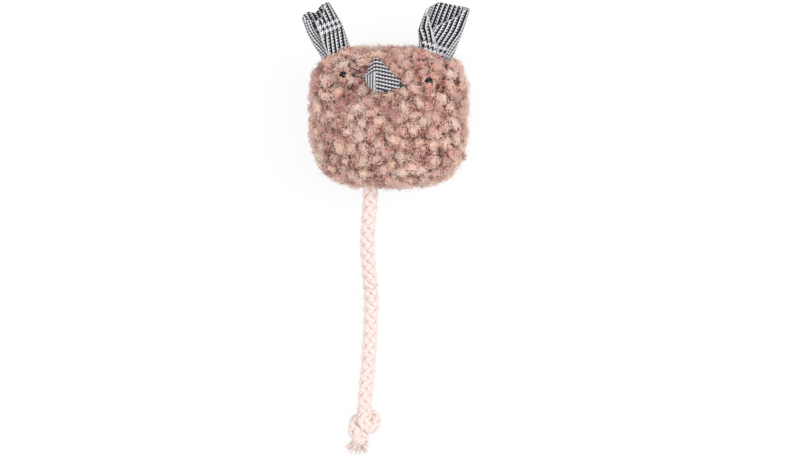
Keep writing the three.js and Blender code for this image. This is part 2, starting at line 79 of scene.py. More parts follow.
def putMesh(name, points, quads, tris=None, finish=None, cornerMaps=None, marks=None):
    # points in millimetres; cornerMaps are UV maps with one pair per face corner, quads first
    quads = np.asarray(quads, np.int32).reshape(-1, 4)
    tris = np.zeros((0, 3), np.int32) if tris is None else np.asarray(tris, np.int32).reshape(-1, 3)
    mesh = bpy.data.meshes.new(name)
    mesh.vertices.add(len(points))
    mesh.vertices.foreach_set("co", (np.asarray(points, float).reshape(-1) * mm).astype(np.float32))
    corners = np.concatenate([quads.reshape(-1), tris.reshape(-1)])
    starts = np.concatenate([np.arange(len(quads)) * 4, len(quads) * 4 + np.arange(len(tris)) * 3])
    mesh.loops.add(len(corners))
    mesh.loops.foreach_set("vertex_index", corners.astype(np.int32))
    mesh.polygons.add(len(starts))
    mesh.polygons.foreach_set("loop_start", starts.astype(np.int32))
    mesh.polygons.foreach_set("use_smooth", np.ones(len(starts), bool))
    for title, pairs in (cornerMaps or {}).items():
        layer = mesh.uv_layers.new(name=title, do_init=False)
        layer.data.foreach_set("uv", np.asarray(pairs, np.float32).reshape(-1))
    for title, values in (marks or {}).items():
        attribute = mesh.attributes.new(title, "FLOAT", "POINT")
        attribute.data.foreach_set("value", np.asarray(values, np.float32).reshape(-1))
    mesh.update(calc_edges=True)
    piece = bpy.data.objects.new(name, mesh)
    bpy.context.scene.collection.objects.link(piece)
    if finish is not None:
        mesh.materials.append(finish)
    return piece


def gridFaces(rows, columns, closed):
    # quads of a row-by-column grid; closed joins the last column to the first
    r, c = np.meshgrid(np.arange(rows - 1), np.arange(columns if closed else columns - 1), indexing="ij")
    low, high, after = r * columns, (r + 1) * columns, (c + 1) % columns
    return np.stack([low + c, low + after, high + after, high + c], -1).reshape(-1, 4)


def poleFans(rows, columns):
    # triangles from a closed grid's first and last rows to the two poles that follow the grid's points
    i = np.arange(columns)
    after, last, pole = (i + 1) % columns, (rows - 1) * columns, np.full(columns, rows * columns)
    return np.concatenate([np.stack([pole, i, after], -1), np.stack([pole + 1, last + after, last + i], -1)])


def sweep(paths, across, outward, guide):
    # A profile carried along paths: point = path + across * side + outward * up, where side is
    # the tangent crossed with the guide and up is the tangent crossed with side. Both ends are capped.
    count, steps = paths.shape[:2]
    tangent = unit(np.gradient(paths, axis=1))
    side = unit(np.cross(tangent, guide))
    up = np.cross(tangent, side)
    rings = paths[:, :, None] + across[..., None] * side[:, :, None] + outward[..., None] * up[:, :, None]
    sides = rings.shape[2]
    base = (np.arange(count) * steps * sides)[:, None]
    top = base + (steps - 1) * sides
    quads = gridFaces(steps, sides, True)[None] + base[:, None]
    i = np.arange(sides)
    after = (i + 1) % sides
    caps = np.broadcast_to(count * steps * sides + np.arange(count)[:, None], (count, sides))
    low = np.stack([caps, base + after, base + i], -1)
    high = np.stack([caps + count, top + i, top + after], -1)
    points = np.concatenate([rings.reshape(-1, 3), paths[:, 0], paths[:, -1]])
    return points, quads.reshape(-1, 4), np.concatenate([low.reshape(-1, 3), high.reshape(-1, 3)])


def tube(paths, radii, guide, sides):
    # a round profile: across = radius * cos(angle), outward = radius * sin(angle)
    ring = fullTurn(sides)
    return sweep(paths, radii * np.cos(ring), radii * np.sin(ring), guide)


def stripMaps(count, steps, sides, margin=0.14, capHeight=0.1):
    # Each swept strip gets a cell of its own in a square atlas: u goes round it and v along it
    cells = int(np.ceil(np.sqrt(count)))
    k = np.arange(count)
    corner = np.stack([k % cells, k // cells], -1)[:, None, None].astype(float)
    span = 1 - 2 * margin
    j, i = (v.reshape(-1) for v in np.meshgrid(np.arange(steps - 1), np.arange(sides), indexing="ij"))
    u, v = np.stack([i, i + 1, i + 1, i], -1), np.stack([j, j, j + 1, j + 1], -1)
    strips = [margin + span * np.stack([u / sides, v / (steps - 1)], -1)]
    i = np.arange(sides)
    for turns, end, way in (((i + 0.5, i + 1, i), margin, -1), ((i + 0.5, i, i + 1), 1 - margin, 1)):
        u = np.stack(turns, -1)
        v = np.broadcast_to(end + capHeight * way * np.array([1, 0, 0]), u.shape)
        strips.append(np.stack([margin + span * u / sides, v], -1))
    return np.concatenate([((corner + strip) / cells).reshape(-1, 2) for strip in strips])


def settle(points, floor=0.15):
    # nothing reaches through the table
    points[..., 2] = np.maximum(points[..., 2], floor)
    return points


# Camera: straight down on the toy

lens = dict(centre=(4.62, -48.72), height=2520.0, level=20.0, viewWidth=336.0, sensor=36.0)
cameraData = bpy.data.cameras.new("photoCamera")
cameraData.sensor_width = lens["sensor"]
cameraData.lens = lens["sensor"] * (lens["height"] - lens["level"]) / lens["viewWidth"]
camera = bpy.data.objects.new("photoCamera", cameraData)
camera.location = (lens["centre"][0] * mm, lens["centre"][1] * mm, lens["height"] * mm)
bpy.context.scene.collection.objects.link(camera)
bpy.context.scene.camera = camera
print("camera set")

# Node helpers for the materials


def newTree(name):
    material = bpy.data.materials.new(name)
    material.use_nodes = True
    return material, material.node_tree, material.node_tree.nodes["Principled BSDF"]


def feed(tree, socket, term):
    # a plain value is set on the socket, another node's output is linked to it
    if isinstance(term, (int, float, tuple)):
        socket.default_value = term
    else:
        tree.links.new(term, socket)


def node(tree, kind, sockets=None, **settings):
    made = tree.nodes.new(kind)
    for title, value in settings.items():
        setattr(made, title, value)
    for title, term in (sockets or {}).items():
        feed(tree, made.inputs[title], term)
    return made


def maths(tree, operation, *terms):
    return node(tree, "ShaderNodeMath", dict(enumerate(terms)), operation=operation).outputs[0]


def blendColours(tree, factor, first, second, mode="MIX"):
    sockets = {0: factor, 6: first, 7: second}
    return node(tree, "ShaderNodeMix", sockets, data_type="RGBA", blend_type=mode).outputs[2]


def tint(tree, colour, mask, share, other, mode="MIX"):
    # the other colour laid over the first by a share of the mask
    return blendColours(tree, maths(tree, "MULTIPLY", mask, share), colour, other, mode)


def ramp(tree, factor, stops):
    made = node(tree, "ShaderNodeValToRGB", {0: factor})
    steps = made.color_ramp.elements
    while len(steps) < len(stops):
        steps.new(0.5)
    for step, (place, colour) in zip(steps, stops):
        step.position = place
        step.color = colour
    return made.outputs[0]


def newGroup(name, inputs, outputs):
    # a shader group with a Vector input, number inputs with their usual values, and number outputs
    group = bpy.data.node_groups.new(name, "ShaderNodeTree")
    group.interface.new_socket("Vector", in_out="INPUT", socket_type="NodeSocketVector")
    for title, value in inputs.items():
        group.interface.new_socket(title, in_out="INPUT", socket_type="NodeSocketFloat").default_value = value
    for title in outputs:
        group.interface.new_socket(title, in_out="OUTPUT", socket_type="NodeSocketFloat")
    return group, group.nodes.new("NodeGroupInput").outputs, group.nodes.new("NodeGroupOutput").inputs


# Shared effects: soft tone patches with fine fibre, and a two-over-two twill in check blocks

mottleTones = dict(
    usual={"Patch Scale": 90.0, "Fibre Scale": 1500.0}, shift=(0.31, 0.17, 0.23), stretch=2.4, drop=-0.7,
    patchDetail=2.0, warmthDetail=1.0, fibreDetail=3.0,
)
fibreMottle, given, wanted = newGroup("fibreMottle", mottleTones["usual"], ("Patch", "Warmth", "Fibre"))
sockets = {0: given["Vector"], 1: mottleTones["shift"]}
shifted = node(fibreMottle, "ShaderNodeVectorMath", sockets, operation="ADD").outputs[0]
for title, place, scale, detail in (
    ("Patch", given["Vector"], "Patch Scale", mottleTones["patchDetail"]),
    ("Warmth", shifted, "Patch Scale", mottleTones["warmthDetail"]),
    ("Fibre", given["Vector"], "Fibre Scale", mottleTones["fibreDetail"]),
):
    sockets = {"Vector": place, "Scale": given[scale], "Detail": detail}
    noise = node(fibreMottle, "ShaderNodeTexNoise", sockets).outputs["Fac"]
    level = maths(fibreMottle, "MULTIPLY_ADD", noise, mottleTones["stretch"], mottleTones["drop"])
    fibreMottle.links.new(node(fibreMottle, "ShaderNodeClamp", {"Value": level}).outputs[0], wanted[title])

weave = dict(
    usual={"Yarn": 0.28, "Warp Broad": 40.0, "Warp Repeat": 80.0, "Weft Broad": 20.0, "Weft Repeat": 70.0},
    start=5600.0,  # yarns counted from far off, so that no count is negative
    # repeat in yarns, and the count below which a yarn is dark or on top
    four=(8.0, 3.5), pair=(4.0, 1.5), over=(4.0, 1.5),
    rowPitch=8.0, rowDark=0.46, toothPitch=4.0, toothLean=0.5, toothReach=0.76, toothShare=0.54,
    slub={"Scale": 1.7, "Detail": 3.0},
)
checkWeave, given, wanted = newGroup("checkWeave", weave["usual"], ("Dark", "Height", "Slub"))
work = partial(maths, checkWeave)


def within(value, repeat, limit):
    return work("LESS_THAN", work("MODULO", value, repeat), limit)


axes = node(checkWeave, "ShaderNodeSeparateXYZ", {"Vector": given["Vector"]}).outputs
threads = []
for axis, title, shift in (("X", "Warp", 0.0), ("Y", "Weft", 2.0)):
    place = work("ADD", work("DIVIDE", axes[axis], given["Yarn"]), weave["start"])
    index = work("FLOOR", place)
    broad = within(index, given[f"{title} Repeat"], work("SUBTRACT", given[f"{title} Broad"], 0.5))
    if threads:
        broad = work("MULTIPLY", broad, threads[0]["broad"])
    fours = work("MULTIPLY", broad, within(index, *weave["four"]))
    pairs = work("MULTIPLY", work("SUBTRACT", 1.0, broad), within(work("ADD", index, shift), *weave["pair"]))
    half = work("MULTIPLY_ADD", work("FRACT", place), 2.0, -1.0)
    bulge = work("SUBTRACT", 1.0, work("MULTIPLY", half, half))
    threads.append(dict(index=index, dark=work("ADD", fours, pairs), bulge=bulge, broad=broad, place=place))
warp, weft = threads
onTop = within(work("ADD", warp["index"], weft["index"]), *weave["over"])
under = work("SUBTRACT", 1.0, onTop)
twillDark, twillHeight = (
    work("ADD", work("MULTIPLY", onTop, warp[title]), work("MULTIPLY", under, weft[title]))
    for title in ("dark", "bulge")
)

# Toothed rows where only the warp is broad: a dark line, teeth, then a light line
acrossRow = work("FRACT", work("DIVIDE", warp["place"], weave["rowPitch"]))
alongRow = work("DIVIDE", weft["place"], weave["toothPitch"])
leaning = work("FRACT", work("MULTIPLY_ADD", acrossRow, weave["toothLean"], alongRow))
leaning = work("LESS_THAN", leaning, weave["toothShare"])
toothed = work("MULTIPLY", work("LESS_THAN", acrossRow, weave["toothReach"]), leaning)
rowDark = work("MAXIMUM", work("LESS_THAN", acrossRow, weave["rowDark"]), toothed)
inRows = work("SUBTRACT", warp["broad"], weft["broad"])
picked = node(checkWeave, "ShaderNodeMix", {0: inRows, 2: twillDark, 3: rowDark}, data_type="FLOAT")
slub = node(checkWeave, "ShaderNodeTexNoise", {"Vector": given["Vector"], **weave["slub"]})
for title, output in (("Dark", picked.outputs[0]), ("Height", twillHeight), ("Slub", slub.outputs["Fac"])):
    checkWeave.links.new(output, wanted[title])
print("node groups ready")


def mottle(tree, patchScale, fibreScale):
    place = node(tree, "ShaderNodeTexCoord").outputs["Object"]
    sockets = {"Vector": place, "Patch Scale": patchScale, "Fibre Scale": fibreScale}
    return node(tree, "ShaderNodeGroup", sockets, node_tree=fibreMottle).outputs


def bump(tree, shader, height, distance, strength):
    made = node(tree, "ShaderNodeBump", {"Height": height, "Strength": strength, "Distance": distance})
    tree.links.new(made.outputs[0], shader.inputs["Normal"])


def mark(tree, title):
    return node(tree, "ShaderNodeAttribute", attribute_name=title).outputs["Fac"]


def surface(tree, shader, colour, sockets):
    # the colour comes from nodes; plain values go on the shader's own sockets
    for title, term in {"Base Color": colour, **sockets}.items():
        feed(tree, shader.inputs[title], term)


fleeceLook = dict(
    heights=[  # from the roots to the tips; darker low in the pile, partly painted shade in the gaps between puffs and partly the fibres' own paler tips
        (0.0, srgb(84, 38, 31)), (0.25, srgb(158, 97, 83)), (0.5, srgb(249, 196, 181)),
        (0.75, srgb(255, 221, 209)), (1.0, srgb(255, 240, 234)),
    ],
    tufts=[  # what a tuft's own colour takes from the light
        (0.0, srgb(202, 166, 170)), (0.12, srgb(236, 216, 216)), (0.4, srgb(254, 243, 241)),
        (0.7, srgb(255, 252, 249)), (1.0, srgb(250, 252, 243)),
    ],
    scales=(75.0, 2400.0), start=-0.34, fibreShare=0.36, toneShare=0.6,
    warm=srgb(250, 208, 180), warmShare=0.3, cool=srgb(222, 192, 178), coolShare=0.3,
    rust=srgb(96, 40, 38), rustScales=(210.0, 1400.0), rustPower=3.0, rustTop=1.1, rustShare=0.9,
    streakJitter=0.5, streakShade=0.1, streakLevel=0.94, streakBump=0.25, bump=(0.0002, 0.5),
    surface={
        "Roughness": 0.9, "Specular IOR Level": 0.2, "Sheen Weight": 0.5, "Sheen Roughness": 0.5,
        "Sheen Tint": srgb(240, 222, 212),
    },
)


def fleeceMaterial(name):
    material, tree, shader = newTree(name)
    look, work = fleeceLook, partial(maths, tree)
    tones = mottle(tree, *look["scales"])
    fibre, reach = tones["Fibre"], mark(tree, "reach")
    byFibre = work("MULTIPLY_ADD", fibre, look["fibreShare"], look["start"])
    height = work("ADD", reach, work("MULTIPLY_ADD", mark(tree, "tone"), look["toneShare"], byFibre))
    # the low end of this ramp is painted shade deep in the pile
    colour = ramp(tree, height, look["heights"])
    colour = tint(tree, colour, tones["Warmth"], look["warmShare"], look["warm"], "MULTIPLY")
    colour = tint(tree, colour, tones["Patch"], look["coolShare"], look["cool"])
    colour = blendColours(tree, 1.0, colour, ramp(tree, mark(tree, "hue"), look["tufts"]), "MULTIPLY")
    spots = work("POWER", mottle(tree, *look["rustScales"])["Patch"], look["rustPower"])
    rusty = work("MULTIPLY", spots, work("SUBTRACT", look["rustTop"], reach))
    colour = tint(tree, colour, rusty, look["rustShare"], look["rust"])
    swirl = node(tree, "ShaderNodeUVMap", uv_map="swirl").outputs[0]
    rings = node(tree, "ShaderNodeSeparateXYZ", {"Vector": swirl}).outputs["X"]
    turns = work("MULTIPLY_ADD", fibre, look["streakJitter"], rings)
    streak = work("SINE", work("MULTIPLY", turns, 2 * np.pi))
    shade = work("MULTIPLY_ADD", streak, look["streakShade"], look["streakLevel"])
    grey = node(tree, "ShaderNodeCombineColor", dict.fromkeys(("Red", "Green", "Blue"), shade))
    colour = blendColours(tree, 1.0, colour, grey.outputs[0], "MULTIPLY")
    surface(tree, shader, colour, look["surface"])
    bump(tree, shader, work("MULTIPLY_ADD", streak, look["streakBump"], fibre), *look["bump"])
    return material


clothLook = dict(
    dark=srgb(10, 8, 13), light=srgb(228, 226, 231), slub=srgb(110, 108, 114), slubShare=0.1, hemRowAndHighlightShare=0.8,
    bump=(0.00012, 0.8), surface={"Roughness": 0.82, "Specular IOR Level": 0.25, "Sheen Weight": 0.15},
)


def checkMaterial(name, *zones):
    # zones: the yarn's width, then the broad yarns and the repeat of the warp, and those of the weft
    material, tree, shader = newTree(name)
    place = node(tree, "ShaderNodeUVMap", uv_map="cloth").outputs[0]
    sockets = {"Vector": place, **dict(zip(weave["usual"], zones))}
    cloth = node(tree, "ShaderNodeGroup", sockets, node_tree=checkWeave).outputs
    colour = blendColours(tree, cloth["Dark"], clothLook["light"], clothLook["dark"])
    colour = tint(tree, colour, cloth["Slub"], clothLook["slubShare"], clothLook["slub"])
    # lighter at the hems: the light yarn row there, with a painted highlight on the folded edge
    colour = tint(tree, colour, mark(tree, "hemRowAndHighlight"), clothLook["hemRowAndHighlightShare"], clothLook["light"])
    surface(tree, shader, colour, clothLook["surface"])
    bump(tree, shader, cloth["Height"], *clothLook["bump"])
    return material


ropeLook = dict(
    # from the hollows to the crowns; the hollows are painted lighter than the crowns, painted light against
    # the shade that falls in them
    depths=[(0.0, srgb(242, 224, 217)), (0.45, srgb(238, 220, 214)), (1.0, srgb(234, 217, 212))],
    scales=(120.0, 2200.0), patch=srgb(236, 216, 206), patchShare=0.3,
    fibre=srgb(224, 202, 193), fibreShare=0.14,
    bump=(0.0002, 0.5), surface={"Roughness": 0.85, "Specular IOR Level": 0.25, "Sheen Weight": 0.2},
)


def ropeMaterial(name):
    material, tree, shader = newTree(name)
    tones = mottle(tree, *ropeLook["scales"])
    colour = ramp(tree, mark(tree, "reach"), ropeLook["depths"])
    colour = tint(tree, colour, tones["Patch"], ropeLook["patchShare"], ropeLook["patch"])
    colour = tint(tree, colour, tones["Fibre"], ropeLook["fibreShare"], ropeLook["fibre"])
    surface(tree, shader, colour, ropeLook["surface"])
    bump(tree, shader, tones["Fibre"], *ropeLook["bump"])
    return material


threadLook = dict(
    scales=(300.0, 3000.0), twist={"Scale": 900.0, "Distortion": 1.5}, twistShare=0.6,
    bump=(0.0001, 0.6), surface={"Roughness": 0.6},
)


def threadMaterial(name, colour, highlight):
    material, tree, shader = newTree(name)
    fibre = mottle(tree, *threadLook["scales"])["Fibre"]
    place = node(tree, "ShaderNodeTexCoord").outputs["Object"]
    twist = node(tree, "ShaderNodeTexWave", {"Vector": place, **threadLook["twist"]}).outputs["Fac"]
    colour = tint(tree, colour, twist, threadLook["twistShare"], highlight)
    surface(tree, shader, colour, threadLook["surface"])
    bump(tree, shader, maths(tree, "ADD", twist, fibre), *threadLook["bump"])
    return material


fillingLook = dict(
    low=srgb(226, 220, 210), high=srgb(248, 245, 238), scales=(160.0, 1200.0),
    bump=(0.0006, 0.8), surface={"Roughness": 1.0},
)


def fillingMaterial(name):
    material, tree, shader = newTree(name)
    fibre = mottle(tree, *fillingLook["scales"])["Fibre"]
    colour = blendColours(tree, fibre, fillingLook["low"], fillingLook["high"])
    surface(tree, shader, colour, fillingLook["surface"])
    bump(tree, shader, fibre, *fillingLook["bump"])
    return material


beadLook = dict(
    low=srgb(12, 11, 13), high=srgb(24, 22, 25), scales=(400.0, 2500.0), polish=(0.12, 0.1), gloss=0.2,
)


def beadMaterial(name):
    material, tree, shader = newTree(name)
    tones = mottle(tree, *beadLook["scales"])
    polish = maths(tree, "MULTIPLY_ADD", tones["Fibre"], *beadLook["polish"])
    colour = blendColours(tree, tones["Patch"], beadLook["low"], beadLook["high"])
    surface(tree, shader, colour, {"Roughness": polish, "Specular IOR Level": beadLook["gloss"]})
    return material


pileFinish = fleeceMaterial("curlyFleece")
backingFinish = fleeceMaterial("fleeceBacking")
earFinish = checkMaterial("earCheckedCloth", 0.24, 52.0, 72.0, 20.0, 160.0)
noseFinish = checkMaterial("noseCheckedCloth", 0.235, 76.0, 128.0, 0.0, 80.0)
cottonFinish = ropeMaterial("cottonRope")
blackThreadFinish = threadMaterial("blackThread", srgb(20, 19, 22), srgb(52, 50, 56))
tanThreadFinish = threadMaterial("tanThread", srgb(160, 124, 108), srgb(196, 164, 148))
fillingFinish = fillingMaterial("fillingFibre")
beadFinish = beadMaterial("blackBead")
print("materials ready")

# Rope: an eight-strand braid along the tail's route

rope = dict(
    route=[
        (-7.8, -33.35, 25), (-8.1, -38, 24.7), (-8.5, -43, 23.7), (-8.8, -48, 21.9), (-9, -53, 19.4),
        (-8.9, -58, 16.3), (-8.5, -63, 13), (-8.1, -68, 9.9), (-7.7, -73, 7.3), (-7.5, -78, 5.4),
        (-7.6, -83, 4.2), (-7.8, -88, 3.6), (-8.1, -94, 3.4), (-8.5, -100, 3.4), (-8.9, -106, 3.45),
        (-9.4, -111, 3.9), (-9.8, -115.5, 5.1), (-10.1, -119.5, 6.15), (-10.3, -123.5, 6.5),
    ],
    tuck=6.0, parting=41.6, diameter=6.7, fineSteps=400, step=0.6,
    strands=8, lead=21.2, radius=2.05, wave=0.5, halfWidth=1.3, halfThick=0.82,
    sides=14, lobes=6, lobeDepth=0.1, core=1.7,
    hollow=1.5, relief=1.7,  # how far the hollows lie from the middle, and the crowns above them
)


def smoothLine(points, count, perSpan=40):
    # Catmull-Rom curve through the points, resampled at even steps along its length
    p = np.asarray(points, float)
    p = np.concatenate([[2 * p[0] - p[1]], p, [2 * p[-1] - p[-2]]])
    t = np.linspace(0, 1, perSpan, endpoint=False)[None, :, None]
    a, b, c, d = (p[i:len(p) - 3 + i][:, None] for i in range(4))
    line = 0.5 * (2 * b + (c - a) * t + (2 * a - 5 * b + 4 * c - d) * t**2 + (3 * b - a - 3 * c + d) * t**3)
    line = np.concatenate([line.reshape(-1, 3), p[-2:-1]])
    along = np.concatenate([[0], np.cumsum(np.linalg.norm(np.diff(line, axis=0), axis=1))])
    even = np.linspace(0, along[-1], count)
    return np.stack([np.interp(even, along, line[:, i]) for i in range(3)], -1), float(along[-1])


def carriedFrame(line, side):
    # side turned as little as possible from point to point, so the braid doesn't spin on a bent path
    tangent = unit(np.gradient(line, axis=0))
    sides = [unit(side - tangent[0] * (side @ tangent[0]))]
    for t in tangent[1:]:
        sides.append(unit(sides[-1] - t * (sides[-1] @ t)))
    return np.array(sides), np.cross(tangent, sides)


def braid(line, along, firstSide, scale=1.0):
    # Strand k turns one way or the other round the line at angle 2 pi along / lead, weaving over and
    # under: radius = strand radius + wave * cos(4 * angle), with the sign opposite for the two ways.
    side, up = carriedFrame(line, firstSide)
    turn = 2 * np.pi * along / rope["lead"]
    strands, sides, ways = rope["strands"], rope["sides"], rope["strands"] // 2
    k = np.arange(strands)
    way = np.where(k % 2 == 0, 1.0, -1.0)[:, None]
    angle = way * turn + (2 * np.pi * (k // 2) / ways)[:, None]
    radius = (rope["radius"] + way * rope["wave"] * np.cos(ways * turn)) * scale
    radial = np.cos(angle)[..., None] * side + np.sin(angle)[..., None] * up
    ring = fullTurn(sides)
    wide = np.broadcast_to(scale, turn.shape)[None, :, None]
    swell = (1 + rope["lobeDepth"] * np.cos(rope["lobes"] * ring)) * wide
    across, outward = rope["halfWidth"] * np.cos(ring) * swell, rope["halfThick"] * np.sin(ring) * swell
    points, quads, tris = sweep(line + radius[..., None] * radial, across, outward, radial)
    middle = np.broadcast_to(line[:, None], (strands, len(line), sides, 3)).reshape(-1, 3)
    middle = np.concatenate([middle, np.repeat(line[[0, -1]], strands, 0)])
    reach = np.clip((np.linalg.norm(points - middle, axis=1) - rope["hollow"]) / rope["relief"], 0, 1)
    core, coreQuads, coreTris = tube(line[None], rope["core"] * wide, side[None], sides)
    quads = np.concatenate([quads, coreQuads + len(points)])
    tris = np.concatenate([tris, coreTris + len(points)])
    return np.concatenate([points, core]), quads, tris, np.concatenate([reach, np.zeros(len(core))])


startX, startY, startZ = rope["route"][0]
tuckedRoute = [(startX, startY + rope["tuck"], startZ)] + rope["route"]
fineLine, ropeLength = smoothLine(tuckedRoute, rope["fineSteps"])
fineAlong = np.linspace(0, ropeLength, rope["fineSteps"])
firstSide = np.array([1.0, 0, 0])
ropeParting = rope["tuck"] + rope["parting"]
ropePieces = []
for title, start, end in (
    ("tail_rope_upper", 0.0, ropeParting),
    ("tail_rope_lower", ropeParting, ropeLength),
):
    along = np.linspace(start, end, int(round((end - start) / rope["step"])) + 1)
    line = np.stack([np.interp(along, fineAlong, fineLine[:, i]) for i in range(3)], -1)
    points, quads, tris, reach = braid(line, along, firstSide)
    piece = putMesh(title, settle(points), quads, tris, cottonFinish, marks={"reach": reach})
    ropePieces.append((piece, line))
(upperRope, upperLine), (lowerRope, lowerLine) = ropePieces
print("rope made, mm:", round(ropeLength, 1))

# Knot: an overhand knot of the same braid, then the frayed end

knot = dict(
    turns=[  # each place is measured from the rope's end: right, towards the ears, up
        (0, 1.5, 0), (0.1, -1.5, 1.0), (-0.3, -4.6, 2.0), (0.6, -7.2, 1.6), (3.0, -6.8, -0.3),
        (4.3, -4.3, -1.9), (3.2, -2.2, -2.9), (0.2, -2.4, -3.1), (-2.6, -4.0, -2.4), (-3.7, -6.3, -0.8),
        (-3.4, -8.9, 0.3), (-1.9, -11.1, 0.3), (-1.0, -12.6, -0.4),
    ],
    # share of the knot's run, braid size
    fullness=[(0, 0.97), (0.12, 0.86), (0.6, 0.88), (0.86, 1.08), (1, 1.12)],
    lift=0.4, steps=90,
)
ropeEnd = fineLine[-1] + np.array([0, 0, knot["lift"]])
knotLine, knotLength = smoothLine(np.array(knot["turns"]) + ropeEnd, knot["steps"])
knotRun = np.linspace(0, 1, knot["steps"])
knotScale = np.interp(knotRun, *np.array(knot["fullness"]).T)
lastSide = carriedFrame(lowerLine, firstSide)[0][-1]
points, quads, tris, reach = braid(knotLine, ropeLength + knotLength * knotRun, lastSide, knotScale)
knotPiece = putMesh("tail_knot", settle(points), quads, tris, cottonFinish, marks={"reach": reach})

tassel = dict(
    strands=200, steps=9, sides=4, rootRadius=2.3, rootStep=-3, length=(3.0, 7.4),
    lean=(-2.6, -5.0), spread=4.5, fall=3.0, flare=2.0, scatter=(1.0, 1.0, 0.7),
    wave=3.1, phase=2.0, sway=0.35, rest=(0.35, 0.65),
    thick=(0.16, 0.32), thinning=0.55, seed=5,
)
rng = np.random.default_rng(tassel["seed"])
count = tassel["strands"]
s = np.linspace(0, 1, tassel["steps"])[None, :, None]
rootAngle = rng.uniform(0, 2 * np.pi, count)
rootShare = np.sqrt(rng.uniform(0, 1, count))
rootSide, rootUp = rootShare * np.cos(rootAngle), rootShare * np.sin(rootAngle)
side, up = (axis[-1] for axis in carriedFrame(knotLine, lastSide))
root = knotLine[tassel["rootStep"]] + tassel["rootRadius"] * (rootSide[:, None] * side + rootUp[:, None] * up)
length = rng.uniform(*tassel["length"], count)
aim = np.stack([
    tassel["lean"][0] + tassel["spread"] * rootSide,
    np.full(count, tassel["lean"][1]),
    tassel["flare"] * rootUp - tassel["fall"],
], -1)
aim = aim + np.stack([rng.normal(0, amount, count) for amount in tassel["scatter"]], -1)
aim = unit(aim) * length[:, None]
wander = rng.normal(0, 1, (count, 2, 3))
swing = np.sin(tassel["wave"] * s + tassel["phase"] * wander[:, None, 0])
paths = root[:, None] + s * aim[:, None] + tassel["sway"] * swing * s * wander[:, None, 1]
paths[..., 2] = np.maximum(paths[..., 2], rng.uniform(*tassel["rest"], (count, 1)))
thick = rng.uniform(*tassel["thick"], count)[:, None, None] * (1 - tassel["thinning"] * s)
points, quads, tris = tube(paths, thick, rng.normal(0, 1, (count, 1, 3)), tassel["sides"])
bakeMap = stripMaps(count, tassel["steps"], tassel["sides"])
# reach 0 gives the tassel the lighter hollow colour: painted light against the shade among its strands
tasselPiece = putMesh("tail_tassel", settle(points), quads, tris, cottonFinish,
                      cornerMaps={"OFBake": bakeMap}, marks={"reach": np.zeros(len(points))})
for piece in (knotPiece, tasselPiece):
    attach(piece, "tail_end")
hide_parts("rope_knot")
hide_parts("rope_tassel")

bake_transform(upperRope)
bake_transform(lowerRope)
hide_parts("rope_upper")
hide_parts("rope_lower")
print("knot and tassel made")

# Head form: a superellipse outline swept through a superellipse in depth, pressed flat at the back

head = dict(
    width=66.5, height=59.5, depth=51.0, taper=5.0, outlinePower=3.4, depthPower=2.8, pressed=1.5,
    frontSeam=37.0, backSeam=13.0, seamSlot=0.6, firstReach=30.0, firstRay=28.0,
)
halfDepth = (head["depth"] + head["pressed"]) / 2
middleZ = head["depth"] - halfDepth
outlinePower, depthPower = head["outlinePower"], head["depthPower"]
headMiddle = np.array([0, 0, middleZ])


def taperAt(y):
    return 1 + head["taper"] / head["width"] * y / head["height"]


def outlineLevel(x, y, taper, inset=0.0):
    # seen from above: 1 on the outline, less inside
    level = np.abs(x / taper / (head["width"] / 2 - inset)) ** outlinePower
    return level + np.abs(y / (head["height"] / 2 - inset)) ** outlinePower


def headLevel(points, inset=0.0):
    # 1 on the surface, less inside
    x, y, z = np.moveaxis(points, -1, 0)
    outline = outlineLevel(x, y, taperAt(y), inset)
    return outline ** (depthPower / outlinePower) + np.abs((z - middleZ) / (halfDepth - inset)) ** depthPower


def headNormal(points):
    shift = np.eye(3) * 0.01
    return unit(np.stack([headLevel(points + d) - headLevel(points - d) for d in shift], -1))


def headAt(spin, share, upper, inset=0.0):
    # share is the distance from the axis as a part of the full outline; the height follows from it
    c, s = np.cos(spin), np.sin(spin)
    reach = np.full(np.broadcast(spin, share).shape, head["firstReach"])
    for _ in range(8):
        reach = outlineLevel(c, s, taperAt(reach * share * s), inset) ** (-1 / outlinePower)
    rise = np.maximum(1 - share**depthPower, 0) ** (1 / depthPower) + 0 * reach
    return np.stack([reach * share * c, reach * share * s, middleZ + upper * (halfDepth - inset) * rise], -1)


def headOut(directions, inset=0.0):
    # where a ray from the middle leaves the form
    reach = np.full(directions.shape[:-1], head["firstRay"])
    for _ in range(12):
        reach = reach * headLevel(directions * reach[..., None] + headMiddle, inset) ** (-1 / depthPower)
    return directions * reach[..., None] + headMiddle


def shareAtHeight(z, inset=0.0):
    return np.maximum(1 - np.abs((z - middleZ) / (halfDepth - inset)) ** depthPower, 0) ** (1 / depthPower)


def faceHeight(x, y):
    level = outlineLevel(x, y, taperAt(y)) ** (depthPower / outlinePower)
    return middleZ + halfDepth * np.maximum(1 - level, 0) ** (1 / depthPower)


def onFace(places):
    # places given as x, y and height above the smooth face
    return np.array([(x, y, faceHeight(x, y) + rise) for x, y, rise in places])


# Fleece panels: closed shells of backing cloth, with the pile standing on them

backing = dict(
    outer=2.7, inner=3.8, around=96, rows=20, lumps=0.25, bandLumps=0.8, rest=(0.3, 1.5),
    waves=[(0.9, 0.4, 0, 0), (0, 0.8, -0.7, 1.2), (0.3, 0, 1.1, 2.1)],  # x, y and z pitch, then phase
    # the backing's low reach gives it the pile's dark root colour: painted shade under the puffs
    marks=dict(reach=0.12, tone=0.4, hue=0.4),
)
panelTurn = fullTurn(backing["around"])[None]


def lumps(points):
    # three crossing sine waves
    waves = [np.sin(points @ np.array(pitch) + phase) for *pitch, phase in backing["waves"]]
    return backing["lumps"] * sum(waves)[..., None]


